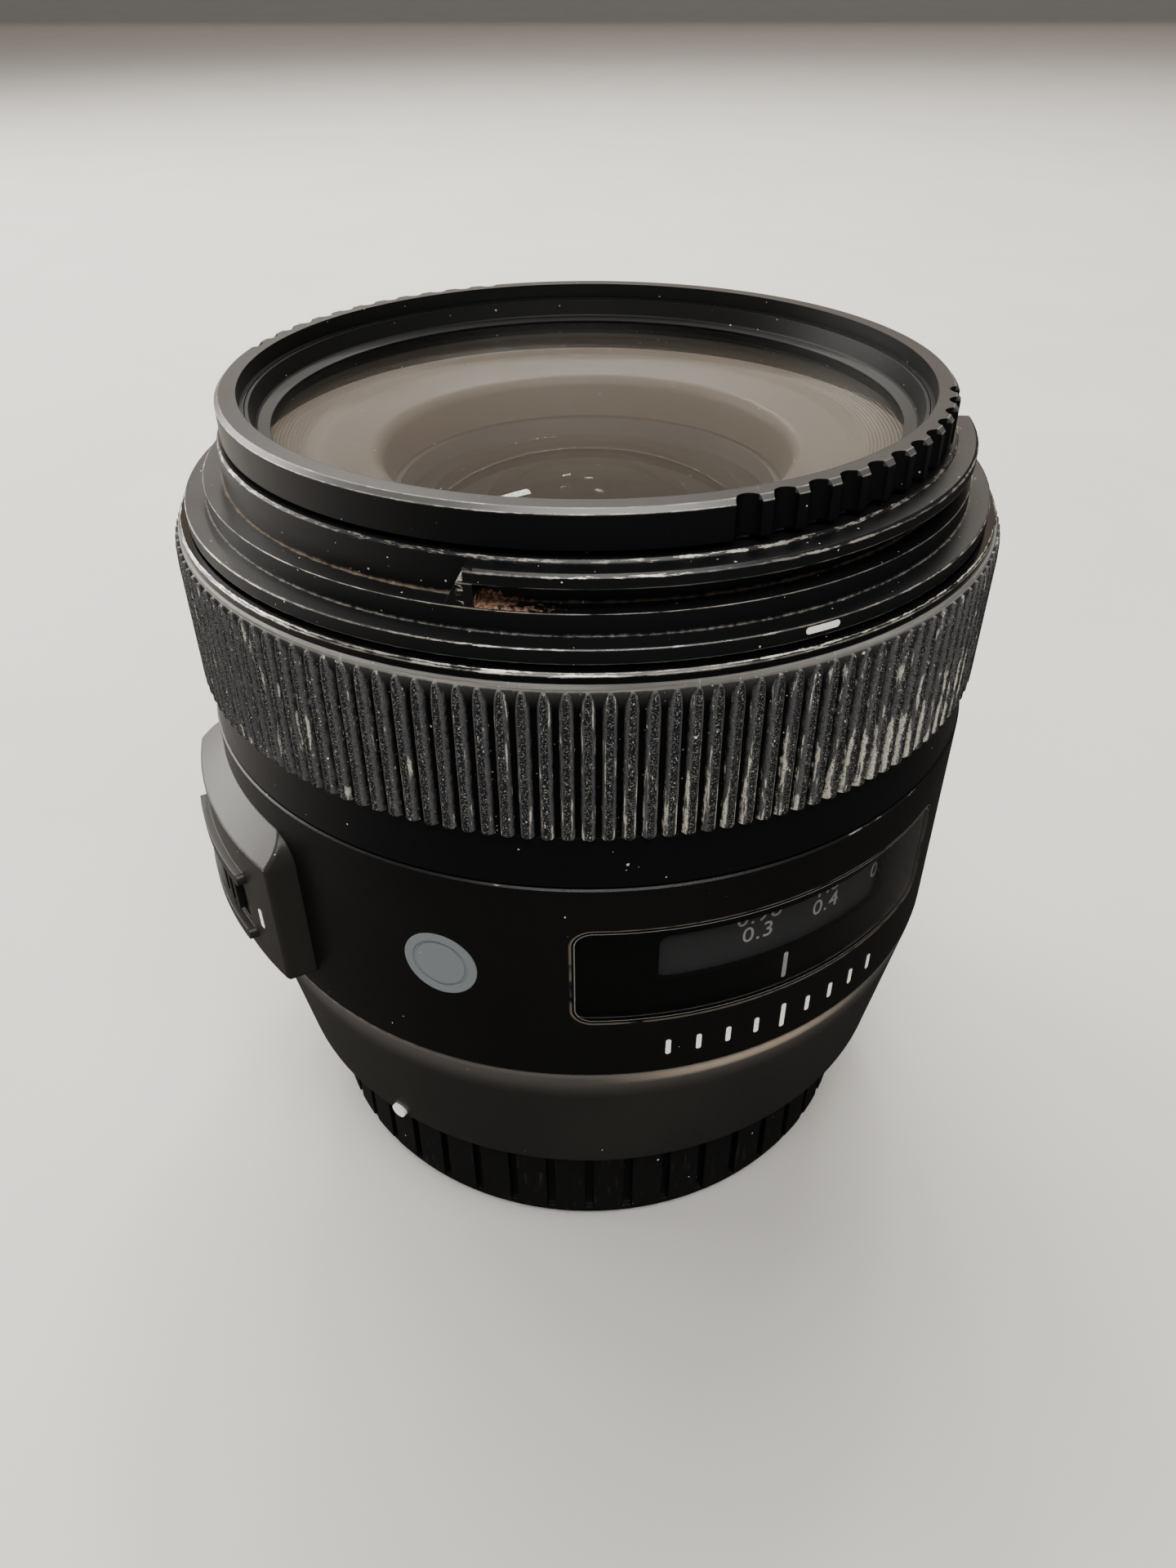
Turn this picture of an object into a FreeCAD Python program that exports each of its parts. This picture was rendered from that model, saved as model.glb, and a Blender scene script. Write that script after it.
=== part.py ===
import FreeCAD, Part

import math
import os

# A fast autofocus prime lens standing on its rear cap, with a protective filter on the front.
# Frame: millimetres, +Z along the optical axis towards the front, origin in the centre of the
# mount flange's face. Azimuths are degrees from -Y towards +X. The focus is near its close limit
# and the iris is stopped down, as it is on a lens that is off its camera.

# Driving dimensions of the outside
GRIP_R = 37.1                    # over the rubber ribs: the widest part of the lens
BARREL_R = 36.85
BARREL_LOW_Z = 16.6
BARREL_TOP_Z = 38.3
BARREL_WALL = 1.55
RIM_Z = 63.4                     # mount flange to front rim
THREAD_R = 31.0                  # 62 mm filter thread
THREAD_PITCH = 0.75
FILTER_R = 31.7
FILTER_TOP_Z = 66.8
FILTER_LOW_Z = 63.9
SKIRT_LOW_R = 34.0
SKIRT_LOW_Z = 0.4
CAP_R = 31.0
CAP_LOW_Z = -13.9
THROAT_R = 20.3                  # inside the bayonet
TOP_AZ = 27.9                    # azimuth of the lens's own top, where the index marks are
POD_AZ = TOP_AZ - 90             # the switch pod is a quarter turn round

# Driving dimensions of the inside
GUIDE_R = 26.15                  # bore of the fixed guide tube
GUIDE_WALL = 1.25
RUN = 0.05                       # radial clearance of running fits
SEAM = 0.1                       # gap between shells that turn past each other
STOP_R = 10.9                    # half the widest opening of the iris
BLADES = 9
BLADE_TURN = 32.0                # each blade, from open to stopped down
IRIS_TURN = 18.0                 # the iris ring, from stopped down to open
LEVER_AZ = 150.0                 # the aperture lever, stopped down
TRAVEL_BACK = 4.07               # carriage, from rest to infinity
TRAVEL_FRONT = 0.43              # carriage, from rest to the close limit
CAM_RISE = 0.11968               # carriage travel per degree of the cam ring
FOLLOWER_AZ = (10, 130, 250)
FOLLOWER_Z = 33.0
FOLLOWER_R = 1.5
ROLLER_Z = 41.7                  # differential rollers, between focus ring and rotor
ROLLER_R = 1.69
IRIS_Z = 30.4                    # rear face of the iris unit

ORIGIN = FreeCAD.Vector(0, 0, 0)
Z_AXIS = FreeCAD.Vector(0, 0, 1)
FULL = 360.0


def point(azimuth, radius, z=0.0):
    """Point at an azimuth, radius and height."""
    angle = math.radians(azimuth - 90)
    return FreeCAD.Vector(radius * math.cos(angle), radius * math.sin(angle), z)


def turned(shape, azimuth):
    """A shape drawn on the +X side (azimuth 90), turned to another azimuth."""
    copy = shape.copy()
    copy.rotate(ORIGIN, Z_AXIS, azimuth - 90)
    return copy


def face_of(points):
    """Face inside an outline. A step of the outline is an end point, or (middle, end) of an arc."""
    edges = []
    start = points[0]
    here = start
    for step in points[1:]:
        if isinstance(step, tuple):
            middle, end = step
            edges.append(Part.Arc(here, middle, end).toShape())
        else:
            end = step
            edges.append(Part.makeLine(here, end))
        here = end
    if here.distanceToPoint(start) > 1e-6:
        edges.append(Part.makeLine(here, start))
    return Part.Face(Part.Wire(edges))


def outward(solid):
    """The solid with its faces pointing outwards."""
    if solid.Volume < 0:
        solid.reverse()
    return solid


def spin(outline, azimuth=0.0, sweep=FULL):
    """Solid of revolution from (radius, z) points; ((r, z), (r, z)) is an arc's middle and end."""
    def lift(pair):
        return FreeCAD.Vector(pair[0], 0, pair[1])
    points = []
    for step in outline:
        is_arc = isinstance(step[0], tuple)
        points.append((lift(step[0]), lift(step[1])) if is_arc else lift(step))
    return outward(turned(face_of(points), azimuth).revolve(ORIGIN, Z_AXIS, sweep))


def ring(inner, outer, low, top, azimuth=0.0, sweep=FULL):
    """Plain ring, or a sector of it that starts at an azimuth."""
    return spin([(inner, low), (outer, low), (outer, top), (inner, top)], azimuth, sweep)


def block(azimuth, inner, outer, half_width, low, top):
    """Box that runs along a radius."""
    box = Part.makeBox(outer - inner, 2 * half_width, top - low, FreeCAD.Vector(inner, -half_width, low))
    return turned(box, azimuth)


def radial_pin(azimuth, inner, outer, z, radius):
    """Round pin along a radius."""
    pin = Part.makeCylinder(radius, outer - inner, FreeCAD.Vector(inner, 0, z), FreeCAD.Vector(1, 0, 0))
    return turned(pin, azimuth)


def radial_prism(azimuth, outline, inner, outer):
    """(tangential, z) outline drawn across a radius and pushed out along it."""
    points = [FreeCAD.Vector(inner, across, z) for across, z in outline]
    return outward(turned(face_of(points).extrude(FreeCAD.Vector(outer - inner, 0, 0)), azimuth))


def rounded_prism(azimuth, half_width, low, top, corner, inner, outer):
    """Prism along a radius whose outline is a rectangle with round corners."""
    nip = corner * (1 - math.sqrt(0.5))

    def at(across, z):
        return FreeCAD.Vector(inner, across, z)
    outline = [
        at(-half_width + corner, low),
        at(half_width - corner, low),
        (at(half_width - nip, low + nip), at(half_width, low + corner)),
        at(half_width, top - corner),
        (at(half_width - nip, top - nip), at(half_width - corner, top)),
        at(-half_width + corner, top),
        (at(-half_width + nip, top - nip), at(-half_width, top - corner)),
        at(-half_width, low + corner),
        (at(-half_width + nip, low + nip), at(-half_width + corner, low)),
    ]
    return outward(turned(face_of(outline).extrude(FreeCAD.Vector(outer - inner, 0, 0)), azimuth))


def curved_plate(azimuth, half_width, low, top, corner, inner, outer):
    """Plate bent round the axis, with round corners."""
    prism = rounded_prism(azimuth, half_width, low, top, corner, inner * 0.7, outer + 1)
    return ring(inner, outer, low, top).common(prism)


def joined(*shapes):
    """One solid from shapes that touch."""
    return shapes[0].multiFuse(list(shapes[1:])).removeSplitter()


def minus(shape, *tools):
    """A shape with tools cut out of it."""
    return shape.cut(Part.makeCompound(list(tools)))


def thread(crest, root, top, turns):
    """Points of thread teeth down a wall."""
    points = []
    for turn in range(turns):
        z = top - turn * THREAD_PITCH
        points += [(crest, z), (crest, z - THREAD_PITCH * 0.3)]
        points += [(root, z - THREAD_PITCH * 0.6), (crest, z - THREAD_PITCH * 0.9)]
    return points


# ---------------------------------------------------------------- filter

GLASS_Z = 61.9
GLASS_T = 1.55
GLASS_R = 29.4


def filter_frame():
    """Screw-in filter ring, with two opposite groups of finger flutes."""
    chamfer = 0.35
    male = THREAD_R - RUN
    outline = [(29.9, FILTER_TOP_Z), (FILTER_R - chamfer, FILTER_TOP_Z), (FILTER_R, FILTER_TOP_Z - chamfer)]
    outline += [(FILTER_R, FILTER_LOW_Z)]
    outline += thread(male, male - 0.35, FILTER_LOW_Z, 4)
    outline += [(28.6, 60.95), (28.6, GLASS_Z), (29.5, GLASS_Z), (29.5, 65.4), (29.9, 65.4)]
    first_az, pitch, count, flute_r = 20.0, 5.2, 12, 1.0
    flutes = []
    for side in (0, 180):
        for number in range(count):
            centre = point(first_az + side + number * pitch, FILTER_R + 0.1, FILTER_LOW_Z - 0.2)
            flutes.append(Part.makeCylinder(flute_r, FILTER_TOP_Z - FILTER_LOW_Z + 1, centre, Z_AXIS))
    return minus(spin(outline), *flutes)


def filter_glass():
    """Flat glass disc."""
    bevel = 0.2
    top = GLASS_Z + GLASS_T
    return spin([(0, GLASS_Z), (GLASS_R - bevel, GLASS_Z), (GLASS_R, GLASS_Z + bevel),
                 (GLASS_R, top - bevel), (GLASS_R - bevel, top), (0, top)])


def filter_retainer():
    """Stepped ring that holds the glass from the front."""
    low = GLASS_Z + GLASS_T
    return spin([(27.6, low), (27.6, low + 0.15), (28.6, low + 0.35), (28.75, low + 0.5), (29.15, 65.35),
                 (29.45, 65.35), (29.45, low)])


# ---------------------------------------------------------------- front barrel

HOOD_LEDGE_Z = 60.3
HOOD_R = 32.1                    # wall between the hood lugs
HOOD_LUG_R = 33.8
BAND_R = 35.63
BAND_TOP_Z = 58.62
BAND_LOW_Z = 57.46
FRONT_TUBE_R = 34.85
CELL_FLANGE_Z = 52.9


def hood_lug(azimuth):
    """Hood bayonet lug: an overhanging bar with a ramped, closed end."""
    top, under, sweep = 63.15, 62.1, 100.0
    bar = spin([(HOOD_R - 0.2, under), (HOOD_LUG_R, under), (HOOD_LUG_R, top - 0.25),
                (HOOD_LUG_R - 0.25, top), (HOOD_R - 0.2, top)], azimuth, sweep)
    ramp = radial_prism(azimuth, [(-1.5, HOOD_LEDGE_Z), (0.1, top), (0.7, top), (0.7, HOOD_LEDGE_Z)],
                        HOOD_R - 1, HOOD_LUG_R + 1)
    return joined(bar, ramp.common(ring(HOOD_R - 0.2, HOOD_LUG_R, HOOD_LEDGE_Z - 0.1, top)))


def front_barrel():
    """Front of the fixed barrel: rim, filter thread, hood bayonet, and the tube inside the focus ring."""
    chamfer = 0.2
    outline = [(THREAD_R, RIM_Z), (HOOD_R - chamfer, RIM_Z), (HOOD_R, RIM_Z - chamfer)]
    outline += [(HOOD_R, HOOD_LEDGE_Z), (HOOD_LUG_R, HOOD_LEDGE_Z), (HOOD_LUG_R, BAND_TOP_Z)]
    outline += [(BAND_R - 0.1, BAND_TOP_Z), (BAND_R, BAND_TOP_Z - 0.1), (BAND_R, BAND_LOW_Z)]
    outline += [(FRONT_TUBE_R, BAND_LOW_Z), (FRONT_TUBE_R, 51.4), (27.45, 51.4), (27.45, CELL_FLANGE_Z)]
    outline += [(33.2, CELL_FLANGE_Z), (33.2, 57.4), (30.4, 58.4), (30.4, 60.0), (THREAD_R, 60.0)]
    outline += list(reversed(thread(THREAD_R, THREAD_R + 0.35, RIM_Z - 0.3, 4)))
    lug_az = -14.4
    lugs = [hood_lug(lug_az), hood_lug(lug_az + 180)]
    seam_az = 120.0              # the body's own seam, clear of the lugs
    return joined(spin(outline, seam_az), *lugs)


def name_ring():
    """Ridged cone round the front element."""
    outer_r, inner_r, outer_z, inner_z = 28.4, 19.4, 60.85, 59.0
    ridges = 12
    pitch = (outer_r - inner_r) / ridges
    fall = (outer_z - inner_z) / ridges
    outline = [(30.9, 60.05), (30.9, outer_z)]
    for ridge in range(ridges):
        r = outer_r - ridge * pitch
        z = outer_z - ridge * fall
        outline += [(r, z), (r - 0.2 * pitch, z - fall - 0.06)]
    outline += [(inner_r, inner_z), ((18.65, 58.7), (18.35, 57.9)), (17.95, 55.3)]
    outline += [(18.7, 55.3), (19.2, 57.5), (28.2, 59.5), (28.4, 60.05)]
    return spin(outline)


# ---------------------------------------------------------------- optics

def sag(curve, height):
    """How far a sphere of signed radius falls behind its vertex at a height from the axis."""
    size = abs(curve)
    return math.copysign(size - math.sqrt(size * size - height * height), curve)


def element(front_z, front_curve, rear_z, rear_curve, front_clear, rear_clear, edge_r):
    """Lens element. Curves are signed radii: positive has its centre towards the rear."""
    def surface(vertex, curve, height):
        return (height, vertex - sag(curve, height))
    front_mid = surface(front_z, front_curve, front_clear / 2)
    front_end = surface(front_z, front_curve, front_clear)
    rear_mid = surface(rear_z, rear_curve, rear_clear / 2)
    rear_end = surface(rear_z, rear_curve, rear_clear)
    outline = [(0, front_z), (front_mid, front_end), (edge_r, front_end[1]), (edge_r, rear_end[1])]
    if rear_clear < edge_r:
        outline.append(rear_end)
    outline.append((rear_mid, (0, rear_z)))
    return spin(outline)


def cemented_front():
    """Front half of the cemented pair, whose rear face fits the next element."""
    return element(26.3, -18.0, 25.1, 40.0, 10.6, 12.8, 12.8)


def cemented_rear():
    """Rear half of the cemented pair: its whole front face is the cemented surface."""
    front_z, front_curve, rear_z, rear_curve, edge_r = 25.1, 40.0, 18.3, -24.0, 12.8
    front_mid = (edge_r / 2, front_z - sag(front_curve, edge_r / 2))
    front_end = (edge_r, front_z - sag(front_curve, edge_r))
    rear_mid = (edge_r / 2, rear_z - sag(rear_curve, edge_r / 2))
    rear_end = (edge_r, rear_z - sag(rear_curve, edge_r))
    return spin([(0, front_z), (front_mid, front_end), rear_end, (rear_mid, (0, rear_z))])


def lens_elements():
    """Nine elements in eight groups, front to rear; the iris sits between the fourth and the fifth."""
    return {
        "lens_element_1": element(57.0, 45.0, 55.2, 19.0, 17.0, 14.0, 17.8),
        "lens_element_2": element(50.9, 40.0, 45.7, -60.0, 13.5, 13.5, 14.5),
        "lens_element_3": element(44.7, 28.0, 41.1, 80.0, 12.5, 12.5, 13.0),
        "lens_element_4": element(38.3, -50.0, 37.0, 35.0, 12.0, 11.2, 12.6),
        "lens_element_5": cemented_front(),
        "lens_element_6": cemented_rear(),
        "lens_element_7": element(17.9, 60.0, 12.5, -36.0, 13.3, 13.3, 13.8),
        "lens_element_8": element(11.4, -30.0, 10.2, -60.0, 13.0, 13.0, 14.2),
        "lens_element_9": element(9.4, 50.0, 4.9, -120.0, 14.0, 14.0, 14.8),
    }


def front_group_cell():
    """Fixed cell that holds the first two elements."""
    return spin([(17.85, 55.2), (18.6, 55.2), (18.6, 54.2), (33.15, 54.2), (33.15, CELL_FLANGE_Z),
                 (20.4, CELL_FLANGE_Z), (20.4, 47.5), (18.5, 46.4), (13.9, 46.4), (13.9, 47.2),
                 (14.52, 47.2), (14.52, 48.58), (13.9, 48.58), (13.9, 49.03), (17.85, 49.03)])


def front_retainer():
    """Ring that holds the front element in its cell."""
    low = 57.0 - sag(45.0, 17.0)
    return spin([(17.0, low), (17.83, low), (17.83, 55.2), (17.4, 55.2)])


def bar_slot(inner, outer, low, top):
    """Room for the aperture bar to swing through a flange."""
    margin = 3.6
    return ring(inner, outer, low, top, LEVER_AZ - margin, IRIS_TURN + 2 * margin)


CARRIAGE_R = GUIDE_R - RUN
CARRIAGE_WALL = 1.5
WEB_Z = 34.6
BAR_IN_R = 22.6
BAR_OUT_R = 24.1


def focus_carriage():
    """Sliding carriage: a guided tube with a web and the cell of elements 3 and 4."""
    bore = CARRIAGE_R - CARRIAGE_WALL
    body = spin([(11.6, WEB_Z), (11.6, 35.14), (12.62, 35.14), (12.62, 40.1), (13.02, 40.1), (13.02, 42.4),
                 (14.6, 42.4), (14.6, 36.1), (bore, 36.1), (bore, 43.0), (CARRIAGE_R, 43.0),
                 (CARRIAGE_R, 26.0), (bore, 26.0), (bore, WEB_Z)])
    holes = [radial_pin(az, bore - 1, GUIDE_R + 1, FOLLOWER_Z, 1.02) for az in FOLLOWER_AZ]
    return minus(body, bar_slot(BAR_IN_R - 0.3, bore, WEB_Z - 1, 37), *holes)


def rear_lens_cell():
    """Cell of elements 5 to 9, with a flange that fits the carriage."""
    rim = CARRIAGE_R - CARRIAGE_WALL - 0.02
    top = IRIS_Z
    body = spin([(12.2, 21.2), (12.2, 21.57), (12.82, 21.96), (12.82, 29.78), (11.2, 29.78), (11.2, top),
                 (rim, top), (rim, 28.9), (17.6, 28.9), (17.6, 4.4), (14.82, 4.4), (14.82, 7.42),
                 (14.22, 7.42), (14.22, 14.38), (13.82, 14.38), (13.82, 16.43), (13.3, 16.43), (13.3, 21.2)])
    return minus(body, bar_slot(BAR_IN_R - 0.3, rim + 1, 28, 31))


def rear_retainer():
    """Ring that holds the last element."""
    top = 4.9 - sag(-120.0, 14.0)
    return spin([(14.0, 4.7), (14.1, 4.4), (14.8, 4.4), (14.8, top), (14.0, top)])


# ---------------------------------------------------------------- iris

BLADE_IN_R = STOP_R + 0.2
BLADE_OUT_R = 17.3
PIVOT_R = 18.3
PIVOT_PIN_R = 0.45
DRIVE_PIN_R = 0.35
DRIVE_R = 18.4                   # drive pin's place on an open blade
DRIVE_AZ = -10.0
BLADE_T = 0.12
BLADE_PITCH_Z = 0.17
FIRST_BLADE_Z = IRIS_Z + 0.9
IRIS_FLOOR = 0.8
IRIS_R = 21.6
IRIS_BORE_R = 21.0
DRIVE_RING_Z = IRIS_Z + 2.55
DRIVE_RING_T = 0.8


def blade_pitch(number):
    """Azimuth of a blade's pivot."""
    return 90 + number * FULL / BLADES


def iris_blade(number):
    """Crescent blade with its pivot pin below and its drive pin above, in the stopped-down pose."""
    low = FIRST_BLADE_Z + number * BLADE_PITCH_Z
    pivot = point(90, PIVOT_R)
    drive = point(90 + DRIVE_AZ, DRIVE_R)
    tip_az = 88.0
    tip_r = (BLADE_IN_R + BLADE_OUT_R) / 2

    def disc(centre, radius, start, height):
        return Part.makeCylinder(radius, height, FreeCAD.Vector(centre.x, centre.y, start), Z_AXIS)
    arm = block(90, 0, pivot.distanceToPoint(drive), 0.8, low, low + BLADE_T)
    arm_angle = math.degrees(math.atan2(drive.y - pivot.y, drive.x - pivot.x))
    arm.rotate(ORIGIN, Z_AXIS, arm_angle)
    arm.translate(pivot)
    sheet = joined(
        ring(BLADE_IN_R, BLADE_OUT_R, low, low + BLADE_T, 87, tip_az + 3),
        disc(point(90 + tip_az, tip_r), (BLADE_OUT_R - BLADE_IN_R) / 2, low, BLADE_T),
        block(90, BLADE_OUT_R - 2, PIVOT_R, 1.2, low, low + BLADE_T),
        disc(pivot, 1.2, low, BLADE_T),
        arm,
        disc(drive, 0.8, low, BLADE_T),
    )
    pin_low = IRIS_Z + 0.05
    blade = joined(
        sheet,
        disc(pivot, PIVOT_PIN_R, pin_low, low - pin_low + BLADE_T / 2),
        disc(drive, DRIVE_PIN_R, low + BLADE_T / 2, DRIVE_RING_Z + DRIVE_RING_T - 0.05 - low - BLADE_T / 2),
    )
    blade.rotate(pivot, Z_AXIS, BLADE_TURN)
    return turned(blade, blade_pitch(number))


def iris_housing():
    """Cup with the blades' pivot holes, and a window for the drive ring's arm."""
    cup = spin([(STOP_R, IRIS_Z), (IRIS_R, IRIS_Z), (IRIS_R, WEB_Z), (IRIS_BORE_R, WEB_Z),
                (IRIS_BORE_R, IRIS_Z + IRIS_FLOOR), (STOP_R, IRIS_Z + IRIS_FLOOR)])
    holes = [Part.makeCylinder(PIVOT_PIN_R + 0.04, 3, point(blade_pitch(n), PIVOT_R, IRIS_Z - 1), Z_AXIS)
             for n in range(BLADES)]
    arm_margin = 7.0
    window = ring(IRIS_BORE_R - 0.5, IRIS_R + 1, DRIVE_RING_Z - 0.15, DRIVE_RING_Z + DRIVE_RING_T + 0.1,
                  LEVER_AZ - arm_margin, IRIS_TURN + 2 * arm_margin)
    return minus(cup, window, *holes)


def iris_cover():
    """Flat ring that closes the iris unit."""
    return ring(STOP_R + 0.5, IRIS_BORE_R, DRIVE_RING_Z + DRIVE_RING_T + 0.1, WEB_Z)


def drive_slot(number):
    """Curved slot that a blade's drive pin follows while the ring turns and the blade swings."""
    half = DRIVE_PIN_R + 0.09
    pivot = point(90, PIVOT_R)

    def pin_in_ring(opened):
        place = point(90 + DRIVE_AZ, DRIVE_R)
        swing = FreeCAD.Rotation(Z_AXIS, BLADE_TURN * (1 - opened))
        place = pivot + swing.multVec(place - pivot)
        return FreeCAD.Rotation(Z_AXIS, -IRIS_TURN * opened).multVec(place)
    start, middle, end = (pin_in_ring(opened) for opened in (-0.02, 0.5, 1.02))
    circle = Part.Circle(start, middle, end)
    centre, radius = circle.Center, circle.Radius

    def off(place, distance):
        return centre + (place - centre) * ((radius + distance) / radius)

    def cap(place, away_from):
        along = (place - centre).cross(Z_AXIS)
        if along.dot(place - away_from) < 0:
            along = -along
        along.normalize()
        return place + along * half
    outline = [off(start, half), (off(middle, half), off(end, half)), (cap(end, middle), off(end, -half)),
               (off(middle, -half), off(start, -half)), (cap(start, middle), off(start, half))]
    slot = face_of(outline)
    slot.translate(FreeCAD.Vector(0, 0, DRIVE_RING_Z - 1))
    return turned(outward(slot.extrude(FreeCAD.Vector(0, 0, 3))), blade_pitch(number))


def iris_drive_ring():
    """Ring that turns the blades, with a forked arm that the aperture bar pushes."""
    top = DRIVE_RING_Z + DRIVE_RING_T
    bar_half = 1.0
    plate = ring(17.5, IRIS_BORE_R - RUN, DRIVE_RING_Z, top)
    arm = block(LEVER_AZ, IRIS_BORE_R - 0.6, BAR_OUT_R + 0.2, bar_half + 1.0, DRIVE_RING_Z, top)
    fork = block(LEVER_AZ, BAR_IN_R - 0.2, BAR_OUT_R + 1, bar_half + RUN, DRIVE_RING_Z - 1, top + 1)
    slots = [drive_slot(number) for number in range(BLADES)]
    return minus(joined(plate, arm), fork, *slots)


LEVER_RING_Z = 12.0
LEVER_RING_T = 1.6
POST_R = 23.6
LEVER_POST_AZ = 200.0
FIXED_POST_AZ = 182.0
SPRING_Z = 16.4


def aperture_lever():
    """Rear lever on a ring, with the long bar that reaches the iris ring."""
    top = LEVER_RING_Z + LEVER_RING_T
    hub = ring(18.6, CARRIAGE_R, LEVER_RING_Z, top)
    bar = block(LEVER_AZ, BAR_IN_R, BAR_OUT_R, 1.0, LEVER_RING_Z, WEB_Z + 0.3)
    lever = block(LEVER_AZ, 18.7, 20.1, 1.5, -5.6, top)
    post = Part.makeCylinder(0.5, 3.4, point(LEVER_POST_AZ, POST_R, top - 0.2), Z_AXIS)
    return joined(hub, bar, lever, post)


def aperture_spring():
    """Small tension spring between the lever's post and the guide tube's post."""
    start = point(FIXED_POST_AZ, POST_R, SPRING_Z)
    end = point(LEVER_POST_AZ, POST_R, SPRING_Z)
    room = 0.8                   # from each post's centre to the coils
    length = start.distanceToPoint(end) - 2 * room
    coil_r, wire_r, coils = 0.75, 0.13, 12
    helix = Part.Wire(Part.makeHelix(length / coils, length, coil_r))
    profile = Part.Wire(Part.makeCircle(wire_r, FreeCAD.Vector(coil_r, 0, 0), FreeCAD.Vector(0, 1, 0.1)))
    spring = outward(helix.makePipeShell([profile], True, True))
    direction = (end - start).normalize()
    spring.Placement = FreeCAD.Placement(start + direction * room, FreeCAD.Rotation(Z_AXIS, direction))
    return spring


# ---------------------------------------------------------------- focus mechanism

GUIDE_OUT_R = GUIDE_R + GUIDE_WALL
CAM_R = GUIDE_OUT_R + RUN
CAM_OUT_R = 28.7
CAM_LOW_Z = 25.0
CAM_TOP_Z = 37.6
TAB_AZ = (40, 160, 280)
ROLLER_AZ = (70, 190, 310)


def guide_tube():
    """Fixed inner tube: straight slots for the followers, a base flange and a ledge for the lever ring."""
    low, flange_top = 4.1, 5.6
    tube = spin([(GUIDE_R, low), (31.5, low), (31.5, flange_top), (GUIDE_OUT_R, flange_top),
                 (GUIDE_OUT_R, CELL_FLANGE_Z), (GUIDE_R, CELL_FLANGE_Z), (GUIDE_R, LEVER_RING_Z - RUN),
                 (24.6, LEVER_RING_Z - RUN), (24.6, 10.4), (GUIDE_R, 10.4)])
    arm = block(FIXED_POST_AZ, POST_R - 0.8, GUIDE_R + 0.3, 0.8, 14.2, 15.2)
    post = Part.makeCylinder(0.5, 2.2, point(FIXED_POST_AZ, POST_R, 15.0), Z_AXIS)
    half = FOLLOWER_R + 0.04
    slots = [rounded_prism(az, half, FOLLOWER_Z - TRAVEL_BACK - half - 0.1,
                           FOLLOWER_Z + TRAVEL_FRONT + half + 0.1, half * 0.98, GUIDE_R - 1, GUIDE_OUT_R + 1)
             for az in FOLLOWER_AZ]
    return minus(joined(tube, arm, post), *slots, *screw_holes())


def cam_slot(azimuth):
    """Helical slot: the carriage climbs by CAM_RISE for each degree that the cam ring turns."""
    mean_r = (CAM_R + CAM_OUT_R) / 2
    slope = math.atan(CAM_RISE / math.radians(mean_r))
    spare = (FOLLOWER_R + 0.3) * math.sin(slope)
    low = FOLLOWER_Z - TRAVEL_BACK - spare
    height = TRAVEL_BACK + TRAVEL_FRONT + 2 * spare
    half = (FOLLOWER_R + 0.05) / math.cos(slope + math.radians(1))
    helix = Part.Wire(Part.makeHelix(CAM_RISE * FULL, height, mean_r, 0, True))
    corners = [(CAM_R - 1, -half), (CAM_OUT_R + 1, -half), (CAM_OUT_R + 1, half), (CAM_R - 1, half)]
    points = [FreeCAD.Vector(r, 0, z) for r, z in corners]
    profile = Part.makePolygon(points + points[:1])
    slot = outward(helix.makePipeShell([profile], True, True))
    slot.translate(FreeCAD.Vector(0, 0, low))
    return turned(slot, azimuth + (FOLLOWER_Z - low) / CAM_RISE)


def cam_ring():
    """Turning tube with three helical slots, and notches for the drive ring's tabs."""
    notches = [block(az, CAM_R - 1, CAM_OUT_R + 1, 1.5, CAM_TOP_Z - 1, CAM_TOP_Z + 1) for az in TAB_AZ]
    slots = [cam_slot(az) for az in FOLLOWER_AZ]
    return minus(ring(CAM_R, CAM_OUT_R, CAM_LOW_Z, CAM_TOP_Z), *notches, *slots)


def cam_followers():
    """Three stepped rollers, fixed in the carriage, that run in the guide and cam slots."""
    return Part.makeCompound([
        joined(radial_pin(az, CARRIAGE_R - CARRIAGE_WALL, GUIDE_R + 0.1, FOLLOWER_Z, 1.0),
               radial_pin(az, GUIDE_R, CAM_OUT_R - 0.1, FOLLOWER_Z, FOLLOWER_R))
        for az in FOLLOWER_AZ])


def focus_drive_ring():
    """Differential carrier: spindles for three rollers, and tabs down to the cam ring."""
    hub = ring(CAM_R, 29.4, 40.3, 43.1)
    tabs = [block(az, CAM_R - 0.2, CAM_OUT_R, 1.48, CAM_TOP_Z - 0.98, 40.4).common(
        ring(CAM_R, CAM_OUT_R, CAM_TOP_Z - 2, 41)) for az in TAB_AZ]
    spindles = [radial_pin(az, 28.8, 33.3, ROLLER_Z, 0.7) for az in ROLLER_AZ]
    return joined(hub, *tabs, *spindles)


def drive_roller(azimuth):
    """Roller on its spindle."""
    tube = radial_pin(azimuth, 30.9, 33.2, ROLLER_Z, ROLLER_R)
    return tube.cut(radial_pin(azimuth, 30, 34, ROLLER_Z, 0.7 + RUN))


MOTOR_IN_R = 28.9
MOTOR_OUT_R = 33.4
ROTOR_Z = 43.4
STATOR_Z = 46.05
STATOR_TOP_Z = 49.8


def motor_rotor():
    """Rotor ring of the ring motor, with the raised rim that the stator drives."""
    return spin([(MOTOR_IN_R, ROTOR_Z), (MOTOR_OUT_R, ROTOR_Z), (MOTOR_OUT_R, 44.8), (32.6, 45.0),
                 (32.6, STATOR_Z - 0.05), (30.6, STATOR_Z - 0.05), (30.6, 45.0), (MOTOR_IN_R, 44.8)])


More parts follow.
